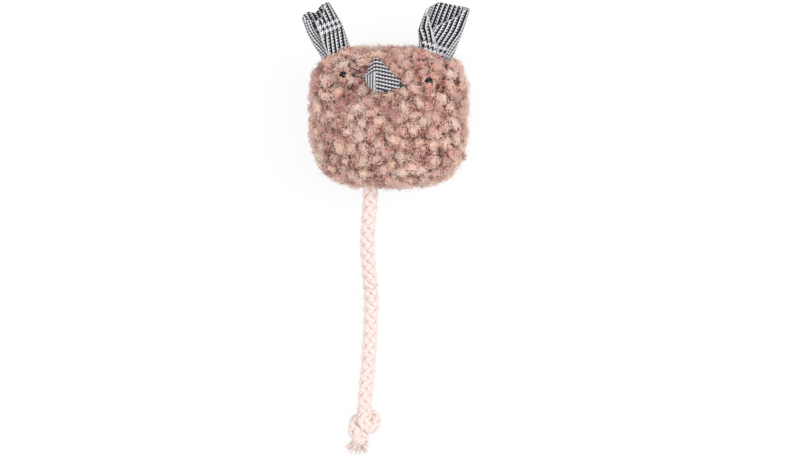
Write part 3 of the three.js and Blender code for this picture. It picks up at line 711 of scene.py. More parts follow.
def capPanel(seam, upper):
    # profile from the outer pole to the seam and back along the inner face to the inner pole
    rows, columns = backing["rows"], backing["around"]
    faces, poles = [], []
    for inset in (backing["outer"], backing["inner"]):
        share = np.linspace(0, shareAtHeight(seam, inset), rows + 1)[1:, None]
        faces.append(headAt(panelTurn, share, upper, inset))
        poles.append([0, 0, middleZ + upper * (halfDepth - inset)])
    outer = faces[0] + headNormal(faces[0]) * lumps(faces[0])
    inner = np.concatenate([faces[1][::-1].reshape(-1, 3), poles])
    outer = settle(outer, backing["rest"][0]).reshape(-1, 3)
    points = np.concatenate([outer, settle(inner, backing["rest"][1])])
    quads, tris = gridFaces(2 * rows, columns, True), poleFans(2 * rows, columns)[:, [0, 2, 1]]
    if upper > 0:
        quads, tris = quads[:, ::-1], tris[:, ::-1]
    return points, quads, tris


def bandPanel():
    # closed ring: up the outer face and down the inner one
    low, high = head["backSeam"] + head["seamSlot"], head["frontSeam"] - head["seamSlot"]
    z = np.linspace(low, high, backing["rows"] + 1)[:, None]
    faces = []
    for inset, heights in ((backing["outer"], z), (backing["inner"], z[::-1])):
        face = headAt(panelTurn, shareAtHeight(heights, inset), 1, inset)
        face[..., 2] = heights
        faces.append(face)
    faces[0] = faces[0] + headNormal(faces[0]) * lumps(faces[0]) * backing["bandLumps"]
    points = np.concatenate(faces).reshape(-1, 3)
    quads = gridFaces(2 * len(z) + 1, backing["around"], True) % len(points)
    return points, quads, None


panels = {}
for title, shape in (
    ("front", capPanel(head["frontSeam"] + head["seamSlot"], 1)),
    ("band", bandPanel()),
    ("back", capPanel(head["backSeam"] - head["seamSlot"], -1)),
):
    marks = {name: np.full(len(shape[0]), value) for name, value in backing["marks"].items()}
    panels[title] = putMesh(f"{title}_fleece", *shape, backingFinish, marks=marks)
    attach(panels[title], "head")
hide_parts("front_panel")
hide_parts("side_band")
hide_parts("back_panel")
print("fleece backing made")

# Nose: a stuffed four-cornered pouch, its four face planes blended into a rounded form

nose = dict(
    # x, y, height above the smooth face
    corners=[(-5.4, 24.9, 3.2), (-5.5, 9.7, 7.8), (-10.6, 15.7, -1.0), (6.7, 12.4, -1.0)],
    sharpness=8, rows=60, around=96,
    crease=0.12, creaseWaves=[(0.5, 1.3, 0), (0.9, 0, 0.4)],  # x and y pitch, then phase
    stretch=0.66, slant=0.1, rowsFrom=8.0, stripesFrom=2.0, joinAt=0.42,
)
tips = onFace(nose["corners"])
noseMiddle = tips.mean(0)
noseArms = (tips - noseMiddle) * 3 ** (1 / nose["sharpness"])
noseNormals, noseDistances = [], []
for skipped in range(4):
    a, b, c = np.delete(noseArms, skipped, 0)
    normal = unit(np.cross(b - a, c - a))
    normal = normal * np.sign(normal @ a)
    noseNormals.append(normal)
    noseDistances.append(normal @ a)


def noseLevel(points):
    # 1 on the pouch: the eighth-power sum of the shares of the way to its four planes
    share = np.maximum((points - noseMiddle) @ np.array(noseNormals).T, 0) / noseDistances
    return (share ** nose["sharpness"]).sum(-1) ** (1 / nose["sharpness"])


polar = np.linspace(0, np.pi, nose["rows"] + 2)[1:-1, None]
turn = fullTurn(nose["around"])[None]
aim = np.stack([np.sin(polar) * np.cos(turn), np.sin(polar) * np.sin(turn), np.cos(polar) + 0 * turn], -1)
aim = np.concatenate([aim.reshape(-1, 3), [[0, 0, 1], [0, 0, -1]]])
points = noseMiddle + aim / noseLevel(noseMiddle + aim)[:, None]
creases = [np.sin(points[:, :2] @ np.array(pitch) + phase) for *pitch, phase in nose["creaseWaves"]]
points = points + nose["crease"] * aim * np.prod(creases, axis=0)[:, None]
quads = gridFaces(nose["rows"], nose["around"], True)[:, ::-1]
tris = poleFans(nose["rows"], nose["around"])
ridge = unit(tips[1] - tips[0])
lengthwise = (points - tips[0]) @ ridge
apart = points - tips[0] - lengthwise[:, None] * ridge
sideways = np.linalg.norm(apart, axis=1) * np.sign(apart[:, 0])
widthwise = nose["stretch"] * sideways
crossRows = np.stack([lengthwise + nose["slant"] * sideways + nose["rowsFrom"], widthwise], -1)
fineStripes = np.stack([widthwise + nose["stripesFrom"], lengthwise], -1)
lowerLeft = (sideways < 0) & (lengthwise > nose["joinAt"] * np.linalg.norm(tips[1] - tips[0]))
clothPlace = np.where(lowerLeft[:, None], fineStripes, crossRows)
corners = np.concatenate([quads.reshape(-1), tris.reshape(-1)])
nosePiece = putMesh("nose_cloth", points, quads, tris, noseFinish, cornerMaps={"cloth": clothPlace[corners]})
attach(nosePiece, "head")
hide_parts("nose_cover")
print("nose made")

# Ears: a strip of cloth with both edges folded to the front, one flap over the other

ears = dict(
    cloth=0.8, rows=44, columns=120, height=20.0, cutHeight=20.5, foldPower=1.3,
    closeness=0.78, hemRowAndHighlightFade=(0.7, 1.25),
    wrinkle=0.11, wavePitch=(0.25, 0.6), waveCount=4, openFrom=(-2, 5), bendFrom=1.5, bendTo=2.5,
    left=dict(
        node="ear_left", hinge=(-21.21, 27.44, 37.0), lean=24.0, twist=14.0, base=-2.6, over="right",
        foldBase=1.5, foldTip=3.0, overlap=0.6, openLeft=-0.12, openRight=0.27,
        leftEdge=[(-3, -6.6), (0, -7.0), (8, -8.1), (14, -8.4), (20, -8.0)],
        rightEdge=[(-3, 4.6), (0, 5.0), (10, 5.8), (20, 4.8)],
        leftFlap=[(-3, 6), (8, 6), (13.5, 5.6), (16, 3.4), (18, 0.4)],
        rightFlap=[(-3, 9.6), (8, 10.1), (14.6, 9.8), (17, 6.2), (18.6, 3.2), (20.8, 0.8)],
        top=[(-8.6, 16.6), (-6.8, 19.6), (-3.9, 20.1), (-1.6, 18.2), (0.6, 19.4), (2.9, 20.7), (6, 19.0)],
        clothShift=(10.5, -5.85), bow=-1.0, seed=3,
    ),
    right=dict(
        node="ear_right", hinge=(20.08, 27.8, 37.0), lean=-16.0, twist=-6.0, base=-2.6, over="left",
        foldBase=1.5, foldTip=3.0, overlap=0.6, openLeft=0.22, openRight=0.06,
        leftEdge=[(-3, -7.0), (0, -7.5), (9, -9.5), (14, -9.2), (20, -8.8)],
        rightEdge=[(-3, 6.4), (0, 6.9), (11, 7.9), (20, 8.2)],
        leftFlap=[(-3, 9.2), (0, 7.9), (7.5, 4.9), (12, 3.0), (15, 1.6), (17.6, 0.3)],
        rightFlap=[(-3, 12.2), (4, 12.2), (9.1, 11.6), (13, 6.6), (17, 2.2), (20, 0.3)],
        top=[(-9.6, 13.8), (-7.4, 17.4), (-5.2, 19.6), (0, 20.0), (7.6, 20.5), (8.6, 20.0)],
        clothShift=(10.5, 2.3), bow=-0.6, seed=8,
    ),
)


def softSteps(knots, value, fineCount=200, window=25):
    # straight runs between the knots, rounded by a moving average
    places, values = np.array(knots, float).T
    fine = np.linspace(places[0], places[-1], fineCount)
    kernel = np.hanning(window)
    padded = np.pad(np.interp(fine, places, values), window // 2, mode="edge")
    return np.interp(value, fine, np.convolve(padded, kernel / kernel.sum(), mode="valid"))


def earAxes(ear):
    # across the ear and up it
    lean = np.radians(ear["lean"])
    return np.array([np.cos(lean), np.sin(lean), 0]), np.array([-np.sin(lean), np.cos(lean), 0])


def foldTurn(flap, radius):
    return np.where(flap >= radius, np.pi, np.pi - np.arcsin(np.clip(1 - flap / radius, 0, 1)))


def earSheet(ear):
    # A row across the cloth runs flap, round fold, flat back, round fold, flap; s is the distance along it.
    # Rows climb from the foot to a top edge whose height changes across the ear.
    h = np.linspace(0, 1, ears["rows"])[:, None]
    climb = ear["base"] + h * (ears["height"] - ear["base"])
    growth = np.clip(climb / ears["height"], 0, 1) ** ears["foldPower"]
    fold = ear["foldBase"] + (ear["foldTip"] - ear["foldBase"]) * growth
    leftFold, rightFold = (
        fold + (ear["overlap"] if ear["over"] == side else -ear["overlap"]) for side in ("left", "right")
    )
    left, right = softSteps(ear["leftEdge"], climb), softSteps(ear["rightEdge"], climb)
    leftFlap, rightFlap = softSteps(ear["leftFlap"], climb), softSteps(ear["rightFlap"], climb)
    leftTurn, rightTurn = foldTurn(leftFlap, leftFold), foldTurn(rightFlap, rightFold)
    leftRun, rightRun = np.maximum(leftFlap - leftFold, 0), np.maximum(rightFlap - rightFold, 0)
    back = right - rightFold - left - leftFold
    ends = np.cumsum(np.stack([leftRun, leftTurn * leftFold, back, rightTurn * rightFold, rightRun]), 0)
    s = np.linspace(0, 1, ears["columns"])[None] * ends[-1]
    a0, a1, a2, a3 = ends[:4]
    parts = [s < a0, s < a1, s < a2, s < a3]
    toLeftFlap, toRightFlap = a0 - s, s - a3
    leftAngle = leftTurn - np.clip(s - a0, 0, a1 - a0) / leftFold
    rightAngle = np.clip(s - a2, 0, a3 - a2) / rightFold
    x = np.select(parts, [
        left + leftFold + toLeftFlap,
        left + leftFold - leftFold * np.sin(leftAngle),
        left + leftFold + (s - a1),
        right - rightFold + rightFold * np.sin(rightAngle),
    ], right - rightFold - toRightFlap)
    depth = np.select(parts, [
        leftFold + 0 * s,
        -leftFold * np.cos(leftAngle),
        -leftFold + (leftFold - rightFold) * (s - a1) / back,
        -rightFold * np.cos(rightAngle),
    ], rightFold + 0 * s)
    topAt = softSteps(ear["top"], np.clip(x, ear["top"][0][0], ear["top"][-1][0]))
    y = ear["base"] + h * (topAt - ear["base"])
    bowed = np.clip(y / ears["height"], 0, 1) ** 2
    rng = np.random.default_rng(ear["seed"])
    waves = (ears["waveCount"], 2)
    waves = rng.uniform(*ears["wavePitch"], waves) * np.where(rng.uniform(0, 1, waves) < 0.5, -1, 1)
    phases = rng.uniform(0, 6, ears["waveCount"])
    wrinkle = sum(np.sin(kx * (s - a1) + ky * y + p) for (kx, ky), p in zip(waves, phases))
    opening = ear["openLeft"] * np.maximum(toLeftFlap, 0) + ear["openRight"] * np.maximum(toRightFlap, 0)
    depth = depth + ears["wrinkle"] * wrinkle + ear["bow"] * bowed + ease(*ears["openFrom"], y) * opening
    shiftX, shiftY = ear["clothShift"]
    clothPlace = np.stack([s - (a1 + a2) / 2 + shiftX, ears["closeness"] * y + shiftY], -1)
    turned = np.radians(ear["twist"]) * bowed
    x, depth = x * np.cos(turned) + depth * np.sin(turned), depth * np.cos(turned) - x * np.sin(turned)
    across, upward = earAxes(ear)
    sheet = np.array(ear["hinge"]) + x[..., None] * across + y[..., None] * upward
    sheet = sheet + depth[..., None] * np.array([0, 0, 1.0])
    flatArea = float((ends[-1][:, 0].mean()) * (ears["height"] - ear["base"]))
    return sheet, clothPlace, flatArea, float(ends[-1].max())


def earPiece(name, ear):
    sheet, clothPlace, flatArea, flatWidth = earSheet(ear)
    rows, columns = sheet.shape[:2]
    half = unit(np.cross(np.gradient(sheet, axis=1), np.gradient(sheet, axis=0))) * ears["cloth"] / 2
    points = np.concatenate([(sheet - half).reshape(-1, 3), (sheet + half).reshape(-1, 3)])
    faces = gridFaces(rows, columns, False)
    other = rows * columns
    edge = np.concatenate([
        np.arange(columns), np.arange(1, rows) * columns + columns - 1,
        (rows - 1) * columns + np.arange(columns - 2, -1, -1), np.arange(rows - 2, 0, -1) * columns,
    ])
    nextEdge = np.roll(edge, -1)
    rim = np.stack([nextEdge, edge, edge + other, nextEdge + other], -1)
    quads = np.concatenate([faces, faces[:, ::-1] + other, rim])
    place = np.concatenate([clothPlace.reshape(-1, 2)] * 2)
    # lighter band along the flaps' free edges: the light row of teeth at the fold, with a painted highlight
    # on the folded edge
    hemRowAndHighlight = np.zeros((2, rows, columns))
    hemRowAndHighlight[:, :, [0, 1, -2, -1]] = 1 - ease(*ears["hemRowAndHighlightFade"], np.linspace(0, 1, rows))[None, :, None]
    piece = putMesh(name, points, quads, None, earFinish,
                    cornerMaps={"cloth": place[quads.reshape(-1)]}, marks={"hemRowAndHighlight": hemRowAndHighlight})
    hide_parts(ear["node"])
    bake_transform(piece)


earPiece("left_ear_cloth", ears["left"])
earPiece("right_ear_cloth", ears["right"])

# Eyes: beads with a bore across the face, sunk among the curls

eye = dict(
    radius=2.5, bore=0.7, rows=28, wallRows=4, around=48,
    places=[("left", "eye_left"), ("right", "eye_right")],
)
eyeSpots = []
spin = fullTurn(eye["around"])[None]
edge = np.arcsin(eye["bore"] / eye["radius"])
latitude = np.linspace(edge, np.pi - edge, eye["rows"])[:, None]
wall = np.linspace(-1, 1, eye["wallRows"] + 2)[1:-1, None] * eye["radius"] * np.cos(edge)
alongBore = np.concatenate([eye["radius"] * np.cos(latitude), wall])[..., None]
fromBore = np.concatenate([eye["radius"] * np.sin(latitude), 0 * wall + eye["bore"]])
quads = gridFaces(len(alongBore) + 1, eye["around"], True) % (len(alongBore) * eye["around"])
for sideName, nodeName in eye["places"]:
    low, high = (np.array(corner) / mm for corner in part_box(nodeName))
    spot = (low + high) / 2
    eyeSpots.append(spot)
    outward = headNormal(spot)
    boreAxis = unit(np.cross(np.cross(outward, [1.0, 0, 0]), outward))
    boreAxis = boreAxis * np.sign(boreAxis[0])
    lift = np.cross(boreAxis, outward)
    rows = spot + alongBore * boreAxis
    rows = rows + (fromBore * np.cos(spin))[..., None] * outward + (fromBore * np.sin(spin))[..., None] * lift
    bead = putMesh(f"{sideName}_eye_bead", rows.reshape(-1, 3), quads, None, beadFinish)
    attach(bead, "head")
    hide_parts(nodeName)
print("eyes made")

# Nose threads: black strands that catch the pouch to the face

stitches = dict(
    radius=0.24, steps=40, sides=8, plies=2, plyDepth=0.15, twist=40,
    left=[
        [
            (-16.6, 20.0, -1.8), (-15.9, 19.9, 0.3), (-14.6, 19.6, 0.8), (-13.2, 19.0, 0.9),
            (-12.0, 18.5, 0.6), (-11.2, 18.1, -0.6),
        ],
        [(-14.2, 16.5, -1.6), (-13.4, 16.5, 0.3), (-12.3, 16.2, 0.8), (-11.2, 15.9, 1.0), (-10.2, 15.6, 0.4)],
    ],
    right=[[(4.2, 13.4, 0.2), (5.4, 13.0, 0.5), (6.6, 12.7, 0.3), (7.4, 12.5, -1.4)]],
)
twist = np.linspace(0, stitches["twist"], stitches["steps"])[None, :, None]
plies = 1 + stitches["plyDepth"] * np.cos(stitches["plies"] * fullTurn(stitches["sides"]) + twist)
for sideName, nodeName in (("left", "nose_stitch_left"), ("right", "nose_stitch_right")):
    lines = np.array([smoothLine(onFace(strand), stitches["steps"])[0] for strand in stitches[sideName]])
    shape = tube(lines, stitches["radius"] * plies, np.array([0.1, 1.0, 0.1]), stitches["sides"])
    piece = putMesh(f"nose_thread_{sideName}", *shape, blackThreadFinish)
    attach(piece, "head")
    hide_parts(nodeName)
print("nose threads made")

# Pile: soft puffs of curled fibre, crowded on the backing and gathered in lumps

relief = dict(  # the lumps, as in the cover's solid
    count=340, scatter=0.07, reach=4.3, depth=2.2, pressed=0.25, fromBack=(8, 16),
)
# shadedTone: each kind's tone; the sunk mid and small puffs, and those round the beads and before the ears'
# feet, are painted darker as painted shade between the large puffs
puffs = dict(
    main=dict(wide=(2.1, 4.2), tall=(1.6, 2.8), level=2.1, hairs=60, shadedTone=0.68, room=0.6),
    mid=dict(
        wide=(1.7, 2.6), tall=(1.4, 2.0), level=2.0, hairs=28, shadedTone=0.46, room=0.2,
        tries=1300, jitter=0.02, apart=0.74, sunk=0.45,
    ),
    fill=dict(
        wide=(1.1, 1.8), tall=(0.9, 1.3), level=2.1, hairs=9, shadedTone=0.18, room=0.2,
        tries=6000, apart=0.86, sunk=0.75,
    ),
    long=(0.8, 1.25), tilt=0.3, lumpy=0.09, core=0.64, rows=5, around=10, rings=9.0, arms=2.0,
    hairSteps=6, hairSides=3, hairRadius=(0.09, 0.26), hairTip=0.5, hairRise=(-0.2, 1),
    loop=(0.14, 0.42), sweep=(1.8, 4.6), inner=0.66, stray=0.46, strayPower=1.5, lean=0.2,
    toneSpread=0.27, hairToneSpread=0.28, coreShade=0.7, pileDepth=3.0, rest=0.12,
    backShare=0.5, pieceLimit=190000, seed=21,
)
cuffs = dict(  # round each bead
    wide=(1.2, 1.7), tall=(1.1, 1.4), hairs=50, shadedTone=puffs["mid"]["shadedTone"],
    count=9, jitter=0.35, reach=(1.9, 2.5), level=(-0.5, 0.1), lift=2.4,
)
collars = dict(  # before the ears' feet
    wide=(1.5, 2.2), tall=(1.2, 1.6), hairs=40, shadedTone=puffs["mid"]["shadedTone"],
    count=18, jitter=0.4, lift=2.2, upright=(0, 0.5, 1.0), forward=(2.6, 3.9),
    left=(-6.8, 5.0), leftAlong=(-4.0, -1.5), right=(-7.2, 3.0), rightAlong=(-5.2, -3.0),
)
clearance = dict(  # room for the beads, the nose, the ears' feet and the rope
    floor=0.1, bead=2.1, noseLift=0.5, nose=0.95, noseGrowth=0.05,
    earShift=0.8, earHalf=6.6, earDepth=1.4, earFoot=-3.5, ropeX=-7.8, ropeZ=25, rope=3.0,
)


def spread(count):
    # golden-angle spread of directions over a ball
    k = np.arange(count) + 0.5
    z = 1 - 2 * k / count
    turn = k * np.pi * (3 - np.sqrt(5))
    flat = np.sqrt(1 - z * z)
    return np.stack([flat * np.cos(turn), flat * np.sin(turn), z], -1)


wave = np.sin((np.arange(3 * relief["count"]) + 1) * 12.9898) * 43758.5453
scatter = relief["scatter"] * (wave - np.floor(wave) - 0.5).reshape(-1, 3)
lumpAims = unit(spread(relief["count"]) + scatter)
lumpTops = headOut(lumpAims)


def creaseAt(points):
    # depth below the smooth form: grows with the square of the distance to the nearest lump's top,
    # nothing under the nose and on the back
    apart = np.linalg.norm(points[:, None] - lumpTops[None], axis=-1).min(1)
    depth = relief["depth"] * np.minimum(apart / relief["reach"], 1) ** 2
    return depth * ease(1, 1 + relief["pressed"], noseLevel(points)) * ease(*relief["fromBack"], points[:, 2])


def clearOf(points, normals, room):
    keep = points[:, 2] > clearance["floor"]
    for spot in eyeSpots:
        keep &= np.linalg.norm(points - spot, axis=1) > clearance["bead"] + room
    noseLimit = clearance["nose"] + clearance["noseGrowth"] * room
    keep &= noseLevel(points + normals * clearance["noseLift"]) > noseLimit
    for ear in (ears["left"], ears["right"]):
        fromHinge = points - np.array(ear["hinge"])
        across, upward = (fromHinge @ axis for axis in earAxes(ear))
        atFoot = np.abs(across + clearance["earShift"]) < clearance["earHalf"]
        atFoot &= upward > clearance["earFoot"]
        keep &= ~(atFoot & (np.abs(fromHinge[:, 2]) < clearance["earDepth"] + room))
    fromRope = np.hypot(points[:, 0] - clearance["ropeX"], points[:, 2] - clearance["ropeZ"])
    return keep & ~((fromRope < clearance["rope"] + room) & (points[:, 1] < 0))


def ballFaces(rows, columns):
    # faces of a closed ball, rows of points first and the two poles last,
    # with theta and phi at each face corner
    j, i = (v.reshape(-1) for v in np.meshgrid(np.arange(rows - 1), np.arange(columns), indexing="ij"))
    quadRows, quadTurns = np.stack([j + 1, j + 1, j, j], -1), np.stack([i, i + 1, i + 1, i], -1)
    i = np.arange(columns)
    triRows = np.repeat([(-1, 0, 0), (rows, rows - 1, rows - 1)], columns, 0)
    triTurns = np.concatenate([np.stack([i + 0.5, i, i + 1], -1), np.stack([i + 0.5, i + 1, i], -1)])
    theta = np.pi * (np.concatenate([quadRows.reshape(-1), triRows.reshape(-1)]) + 1) / (rows + 1)
    phi = 2 * np.pi * np.concatenate([quadTurns.reshape(-1), triTurns.reshape(-1)]) / columns
    return quadRows * columns + quadTurns % columns, poleFans(rows, columns), theta, phi


def onPuff(axes, theta, phi):
    # ellipsoid: sin(theta) cos(phi), sin(theta) sin(phi) and cos(theta) along the three half axes
    shape = np.stack([np.sin(theta) * np.cos(phi), np.sin(theta) * np.sin(phi), np.cos(theta)], -1)
    return np.einsum("n...k,nkj->n...j", shape, axes)


def growPuffs(spots, outs, depths, kind):
    # Each puff is an ellipsoid whose centre lies at its depth below its spot on the smooth form.
    # Each fibre is part of a small circle on it, leaning out at one side: with d the circle's middle and
    # e, f across it, the fibre runs through unit(d + loop * (e cos a + f sin a)) times the ellipsoid's axes.
    count, hairs = len(spots), kind["hairs"]
    upright = unit(outs + puffs["tilt"] * rng.normal(0, 1, (count, 3)))
    first = unit(np.cross(upright, rng.normal(0, 1, (count, 3))))
    spans = (kind["wide"], puffs["long"], kind["tall"])
    wide, long, tall = (rng.uniform(*span, (count, 1)) for span in spans)
    axes = np.stack([first * wide * long, np.cross(upright, first) * wide / long, upright * tall], 1)
    centres = spots - outs * np.reshape(depths, (-1, 1))
    rows, columns = puffs["rows"], puffs["around"]
    theta, phi = np.meshgrid(np.pi * np.arange(1, rows + 1) / (rows + 1), fullTurn(columns), indexing="ij")
    theta, phi = (np.broadcast_to(v.reshape(-1), (count, rows * columns)) for v in (theta, phi))
    lump = 1 + puffs["lumpy"] * rng.normal(0, 1, (count, rows * columns, 1))
    cells = np.concatenate([onPuff(axes, theta, phi) * lump, axes[:, 2:], -axes[:, 2:]], 1) * puffs["core"]
    hand = np.where(rng.uniform(0, 1, (count, 1, 1)) < 0.5, -1.0, 1.0)
    perHair = (count, hairs, 1)
    rise, spin = rng.uniform(*puffs["hairRise"], perHair), rng.uniform(0, 2 * np.pi, perHair)
    flat = np.sqrt(1 - rise * rise)
    middle = np.concatenate([flat * np.cos(spin), flat * np.sin(spin), rise], -1)
    e = unit(np.cross(middle, rng.normal(0, 1, (count, hairs, 3))))
    f = np.cross(middle, e)
    s = np.linspace(0, 1, puffs["hairSteps"])
    a = rng.uniform(0, 2 * np.pi, perHair) + hand * rng.uniform(*puffs["sweep"], perHair) * s
    loop = rng.uniform(*puffs["loop"], perHair)[..., None]
    circle = np.cos(a)[..., None] * e[:, :, None] + np.sin(a)[..., None] * f[:, :, None]
    swell = puffs["inner"] + puffs["stray"] * rng.uniform(0, 1, perHair) ** puffs["strayPower"]
    swell = swell + puffs["lean"] * rng.uniform(0, 1, perHair) * np.cos(a)
    fibres = np.einsum("nhsk,nkj->nhsj", unit(middle[:, :, None] + loop * circle) * swell[..., None], axes)
    # the kind's shadedTone darkens the lower puffs: painted shade
    tone = np.clip(kind["shadedTone"] + puffs["toneSpread"] * rng.normal(0, 1, count), 0, 1)
    return dict(
        spots=spots, outs=outs, hand=hand[:, 0, 0], tone=tone, hue=rng.uniform(0, 1, count),
        wide=wide[:, 0], centres=centres,
        cells=centres[:, None] + cells, fibres=centres[:, None, None] + fibres,
        fibreTone=np.clip(tone[:, None] + puffs["hairToneSpread"] * rng.normal(0, 1, (count, hairs)), 0, 1),
        guide=unit(np.einsum("nhk,nkj->nhj", middle, axes)),
    )


def reachOf(points, spots, outs):
    # 0 at the backing, 1 at the level of the smooth form
    return np.clip(1 + ((points - spots) * outs).sum(-1) / puffs["pileDepth"], 0, 1)


def placed(aims, room):
    spots = headOut(unit(aims))
    outs = headNormal(spots)
    keep = clearOf(spots, outs, room)
    return spots[keep], outs[keep]


rng = np.random.default_rng(puffs["seed"])
mainLevel = puffs["main"]["level"]
spots, outs = placed(lumpAims, puffs["main"]["room"])
mainPuffs = growPuffs(spots, outs, np.full(len(spots), mainLevel), puffs["main"])


def growBetween(groups, kind, aims):
    # puffs where none of the earlier ones lies near
    spots, outs = placed(aims, kind["room"])
    for group in groups:
        apart = np.linalg.norm((spots - outs * mainLevel)[:, None] - group["centres"][None], axis=-1)
        bare = (apart / group["wide"]).min(1) > kind["apart"]
        spots, outs = spots[bare], outs[bare]
    return growPuffs(spots, outs, kind["level"] + kind["sunk"] * creaseAt(spots), kind)


mid, fill = puffs["mid"], puffs["fill"]
midAims = spread(mid["tries"]) + rng.normal(0, mid["jitter"], (mid["tries"], 3))
midPuffs = growBetween([mainPuffs], mid, midAims)
fillPuffs = growBetween([mainPuffs, midPuffs], fill, spread(fill["tries"]))


def aboutEye(spot, count, jitter):
    # the way out of the face at a bead, two ways across it, and uneven turns round it
    outward = headNormal(spot)
    sideOne = unit(np.cross(outward, [0, 1.0, 0]))
    turn = 2 * np.pi * (np.arange(count) + rng.uniform(-jitter, jitter, count))[:, None] / count
    return outward, sideOne, np.cross(outward, sideOne), turn


aims = []
for spot in eyeSpots:
    outward, sideOne, sideTwo, turn = aboutEye(spot, cuffs["count"], cuffs["jitter"])
    reach = rng.uniform(*cuffs["reach"], (cuffs["count"], 1))
    aims.append(spot + reach * (np.cos(turn) * sideOne + np.sin(turn) * sideTwo))
spots = headOut(unit(np.concatenate(aims) - headMiddle))
outs = headNormal(spots)
depths = cuffs["lift"] + rng.uniform(*cuffs["level"], len(spots))
cuffPuffs = growPuffs(spots + cuffs["lift"] * outs, outs, depths, cuffs)

spots = []
perPuff = (collars["count"], 1)
for sideName in ("left", "right"):
    across, upward = earAxes(ears[sideName])
    right = np.linspace(*collars[sideName], collars["count"])[:, None]
    right = right + rng.uniform(-collars["jitter"], collars["jitter"], perPuff)
    along = rng.uniform(*collars[f"{sideName}Along"], perPuff)
    forward = rng.uniform(*collars["forward"], perPuff) * np.array([0, 0, 1.0])
    spots.append(np.array(ears[sideName]["hinge"]) + right * across + along * upward + forward)
spots = np.concatenate(spots)
outs = np.broadcast_to(unit(np.array(collars["upright"])), spots.shape)
depths = np.full(len(spots), collars["lift"])
collarPuffs = growPuffs(spots + collars["lift"] * outs, outs, depths, collars)
print("puffs, large to small:", len(mainPuffs["spots"]), len(midPuffs["spots"]), len(fillPuffs["spots"]))
coreQuads, coreTris, coreTheta, corePhi = ballFaces(puffs["rows"], puffs["around"])


def panelOf(group):
    z = group["spots"][:, 2]
    return np.where(z > head["frontSeam"] - 0.5, 0, np.where(z > head["backSeam"], 1, 2))


def corePiece(name, group, chosen):
    cells, spots, outs = (group[v][chosen] for v in ("cells", "spots", "outs"))
    tone, hue, hand = (group[v][chosen] for v in ("tone", "hue", "hand"))
    count, block = cells.shape[:2]
    shift = (np.arange(count) * block)[:, None, None]
    phase = puffs["rings"] * coreTheta / np.pi + hand[:, None] * puffs["arms"] * corePhi / (2 * np.pi)
    pairs = np.stack([phase, np.broadcast_to(tone[:, None], phase.shape)], -1)
    pairs = np.concatenate([part.reshape(-1, 2) for part in np.split(pairs, [coreQuads.size], 1)])
    marks = {
        "reach": puffs["coreShade"] * reachOf(cells, spots[:, None], outs[:, None]).reshape(-1),
        "tone": puffs["coreShade"] * np.repeat(tone, block), "hue": np.repeat(hue, block),
    }
    piece = putMesh(name, settle(cells.reshape(-1, 3), puffs["rest"]), coreQuads + shift, coreTris + shift,
                    pileFinish, cornerMaps={"swirl": pairs}, marks=marks)
    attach(piece, "head")


def pilePiece(name, paths, radius, guide, tones, hues, spots, outs):
    count, steps = paths.shape[:2]
    sides = puffs["hairSides"]
    radii = rng.uniform(*radius, (count, 1, 1)) * np.linspace(1, puffs["hairTip"], steps)[None, :, None]
    points, quads, tris = tube(paths, radii, guide, sides)
    spots, outs, tones, hues = (
        np.concatenate([np.repeat(v, steps * sides, 0), v, v]) for v in (spots, outs, tones, hues)
    )
    marks = {"reach": reachOf(points, spots, outs), "tone": tones, "hue": hues}
    piece = putMesh(name, settle(points, puffs["rest"]), quads, tris, pileFinish,
                    cornerMaps={"OFBake": stripMaps(count, steps, sides)}, marks=marks)
    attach(piece, "head")
    print(name, len(quads) * 2 + len(tris), "triangles")


puffGroups = dict(
    puffs=mainPuffs, mid_puffs=midPuffs, small_puffs=fillPuffs, eye_puffs=cuffPuffs, ear_puffs=collarPuffs,
)
for index, title in enumerate(("front", "band", "back")):
    for kind, group in puffGroups.items():
        chosen = panelOf(group) == index
        if not chosen.any():
            continue
        corePiece(f"{title}_{kind}", group, chosen)
        hairs, steps = group["fibres"].shape[1:3]
        if title == "back":
            hairs = int(hairs * puffs["backShare"])
        order = np.flatnonzero(chosen)[np.argsort(np.arctan2(*group["spots"][chosen][:, 1::-1].T))]
        trisPerHair = 2 * steps * puffs["hairSides"]
        parts = int(np.ceil(len(order) * hairs * trisPerHair / puffs["pieceLimit"]))
        for part, some in enumerate(np.array_split(order, parts)):
            fibres, guide, tones = (group[v][some, :hairs] for v in ("fibres", "guide", "fibreTone"))
            hues, spots, outs = (np.repeat(group[v][some], hairs, 0) for v in ("hue", "spots", "outs"))
            pilePiece(f"{title}_{kind}_pile_{part + 1}", fibres.reshape(-1, steps, 3), puffs["hairRadius"],
                      guide.reshape(-1, 1, 3), tones.reshape(-1), hues, spots, outs)

# Loose fibres that soften the outline: each curls about its own line as it stands up

loose = dict(
    count=5200, jitter=0.03, room=0.0, length=(1.2, 4.2), stand=(0.6, 1.6), turns=(-5, 5), start=(0, 6.28),
    curl=(0.5, 1.2), droop=0.35, lean=0.3, tone=(0.35, 0.9), hue=(0.2, 1), radius=(0.05, 0.1), steps=6,
)
aims = spread(loose["count"]) + rng.normal(0, loose["jitter"], (loose["count"], 3))
spots, outs = placed(aims, loose["room"])
count = len(spots)


def each(title):
    return rng.uniform(*loose[title], (count, 1, 1))


s = np.linspace(0, 1, loose["steps"])[None, :, None]
tangentOne = unit(np.cross(outs, rng.normal(0, 1, (count, 3))))
tangentTwo = np.cross(outs, tangentOne)
angle = each("turns") * s + each("start")
depth = mid["level"] + mid["sunk"] * creaseAt(spots)[:, None, None] - each("stand")
hair = spots[:, None] + outs[:, None] * (each("length") * s * (1 - loose["droop"] * s) - depth)
right, left = ((f(angle) - f(angle[:, :1])) for f in (np.cos, np.sin))
hair = hair + each("curl") * (right * tangentOne[:, None] + left * tangentTwo[:, None])
pilePiece("loose_fibres", hair, loose["radius"], unit(outs + loose["lean"] * tangentOne)[:, None],
          rng.uniform(*loose["tone"], count), rng.uniform(*loose["hue"], count), spots, outs)

# Fibres over the beads: each starts among the puffs and closes in on the bead's middle as it turns round it

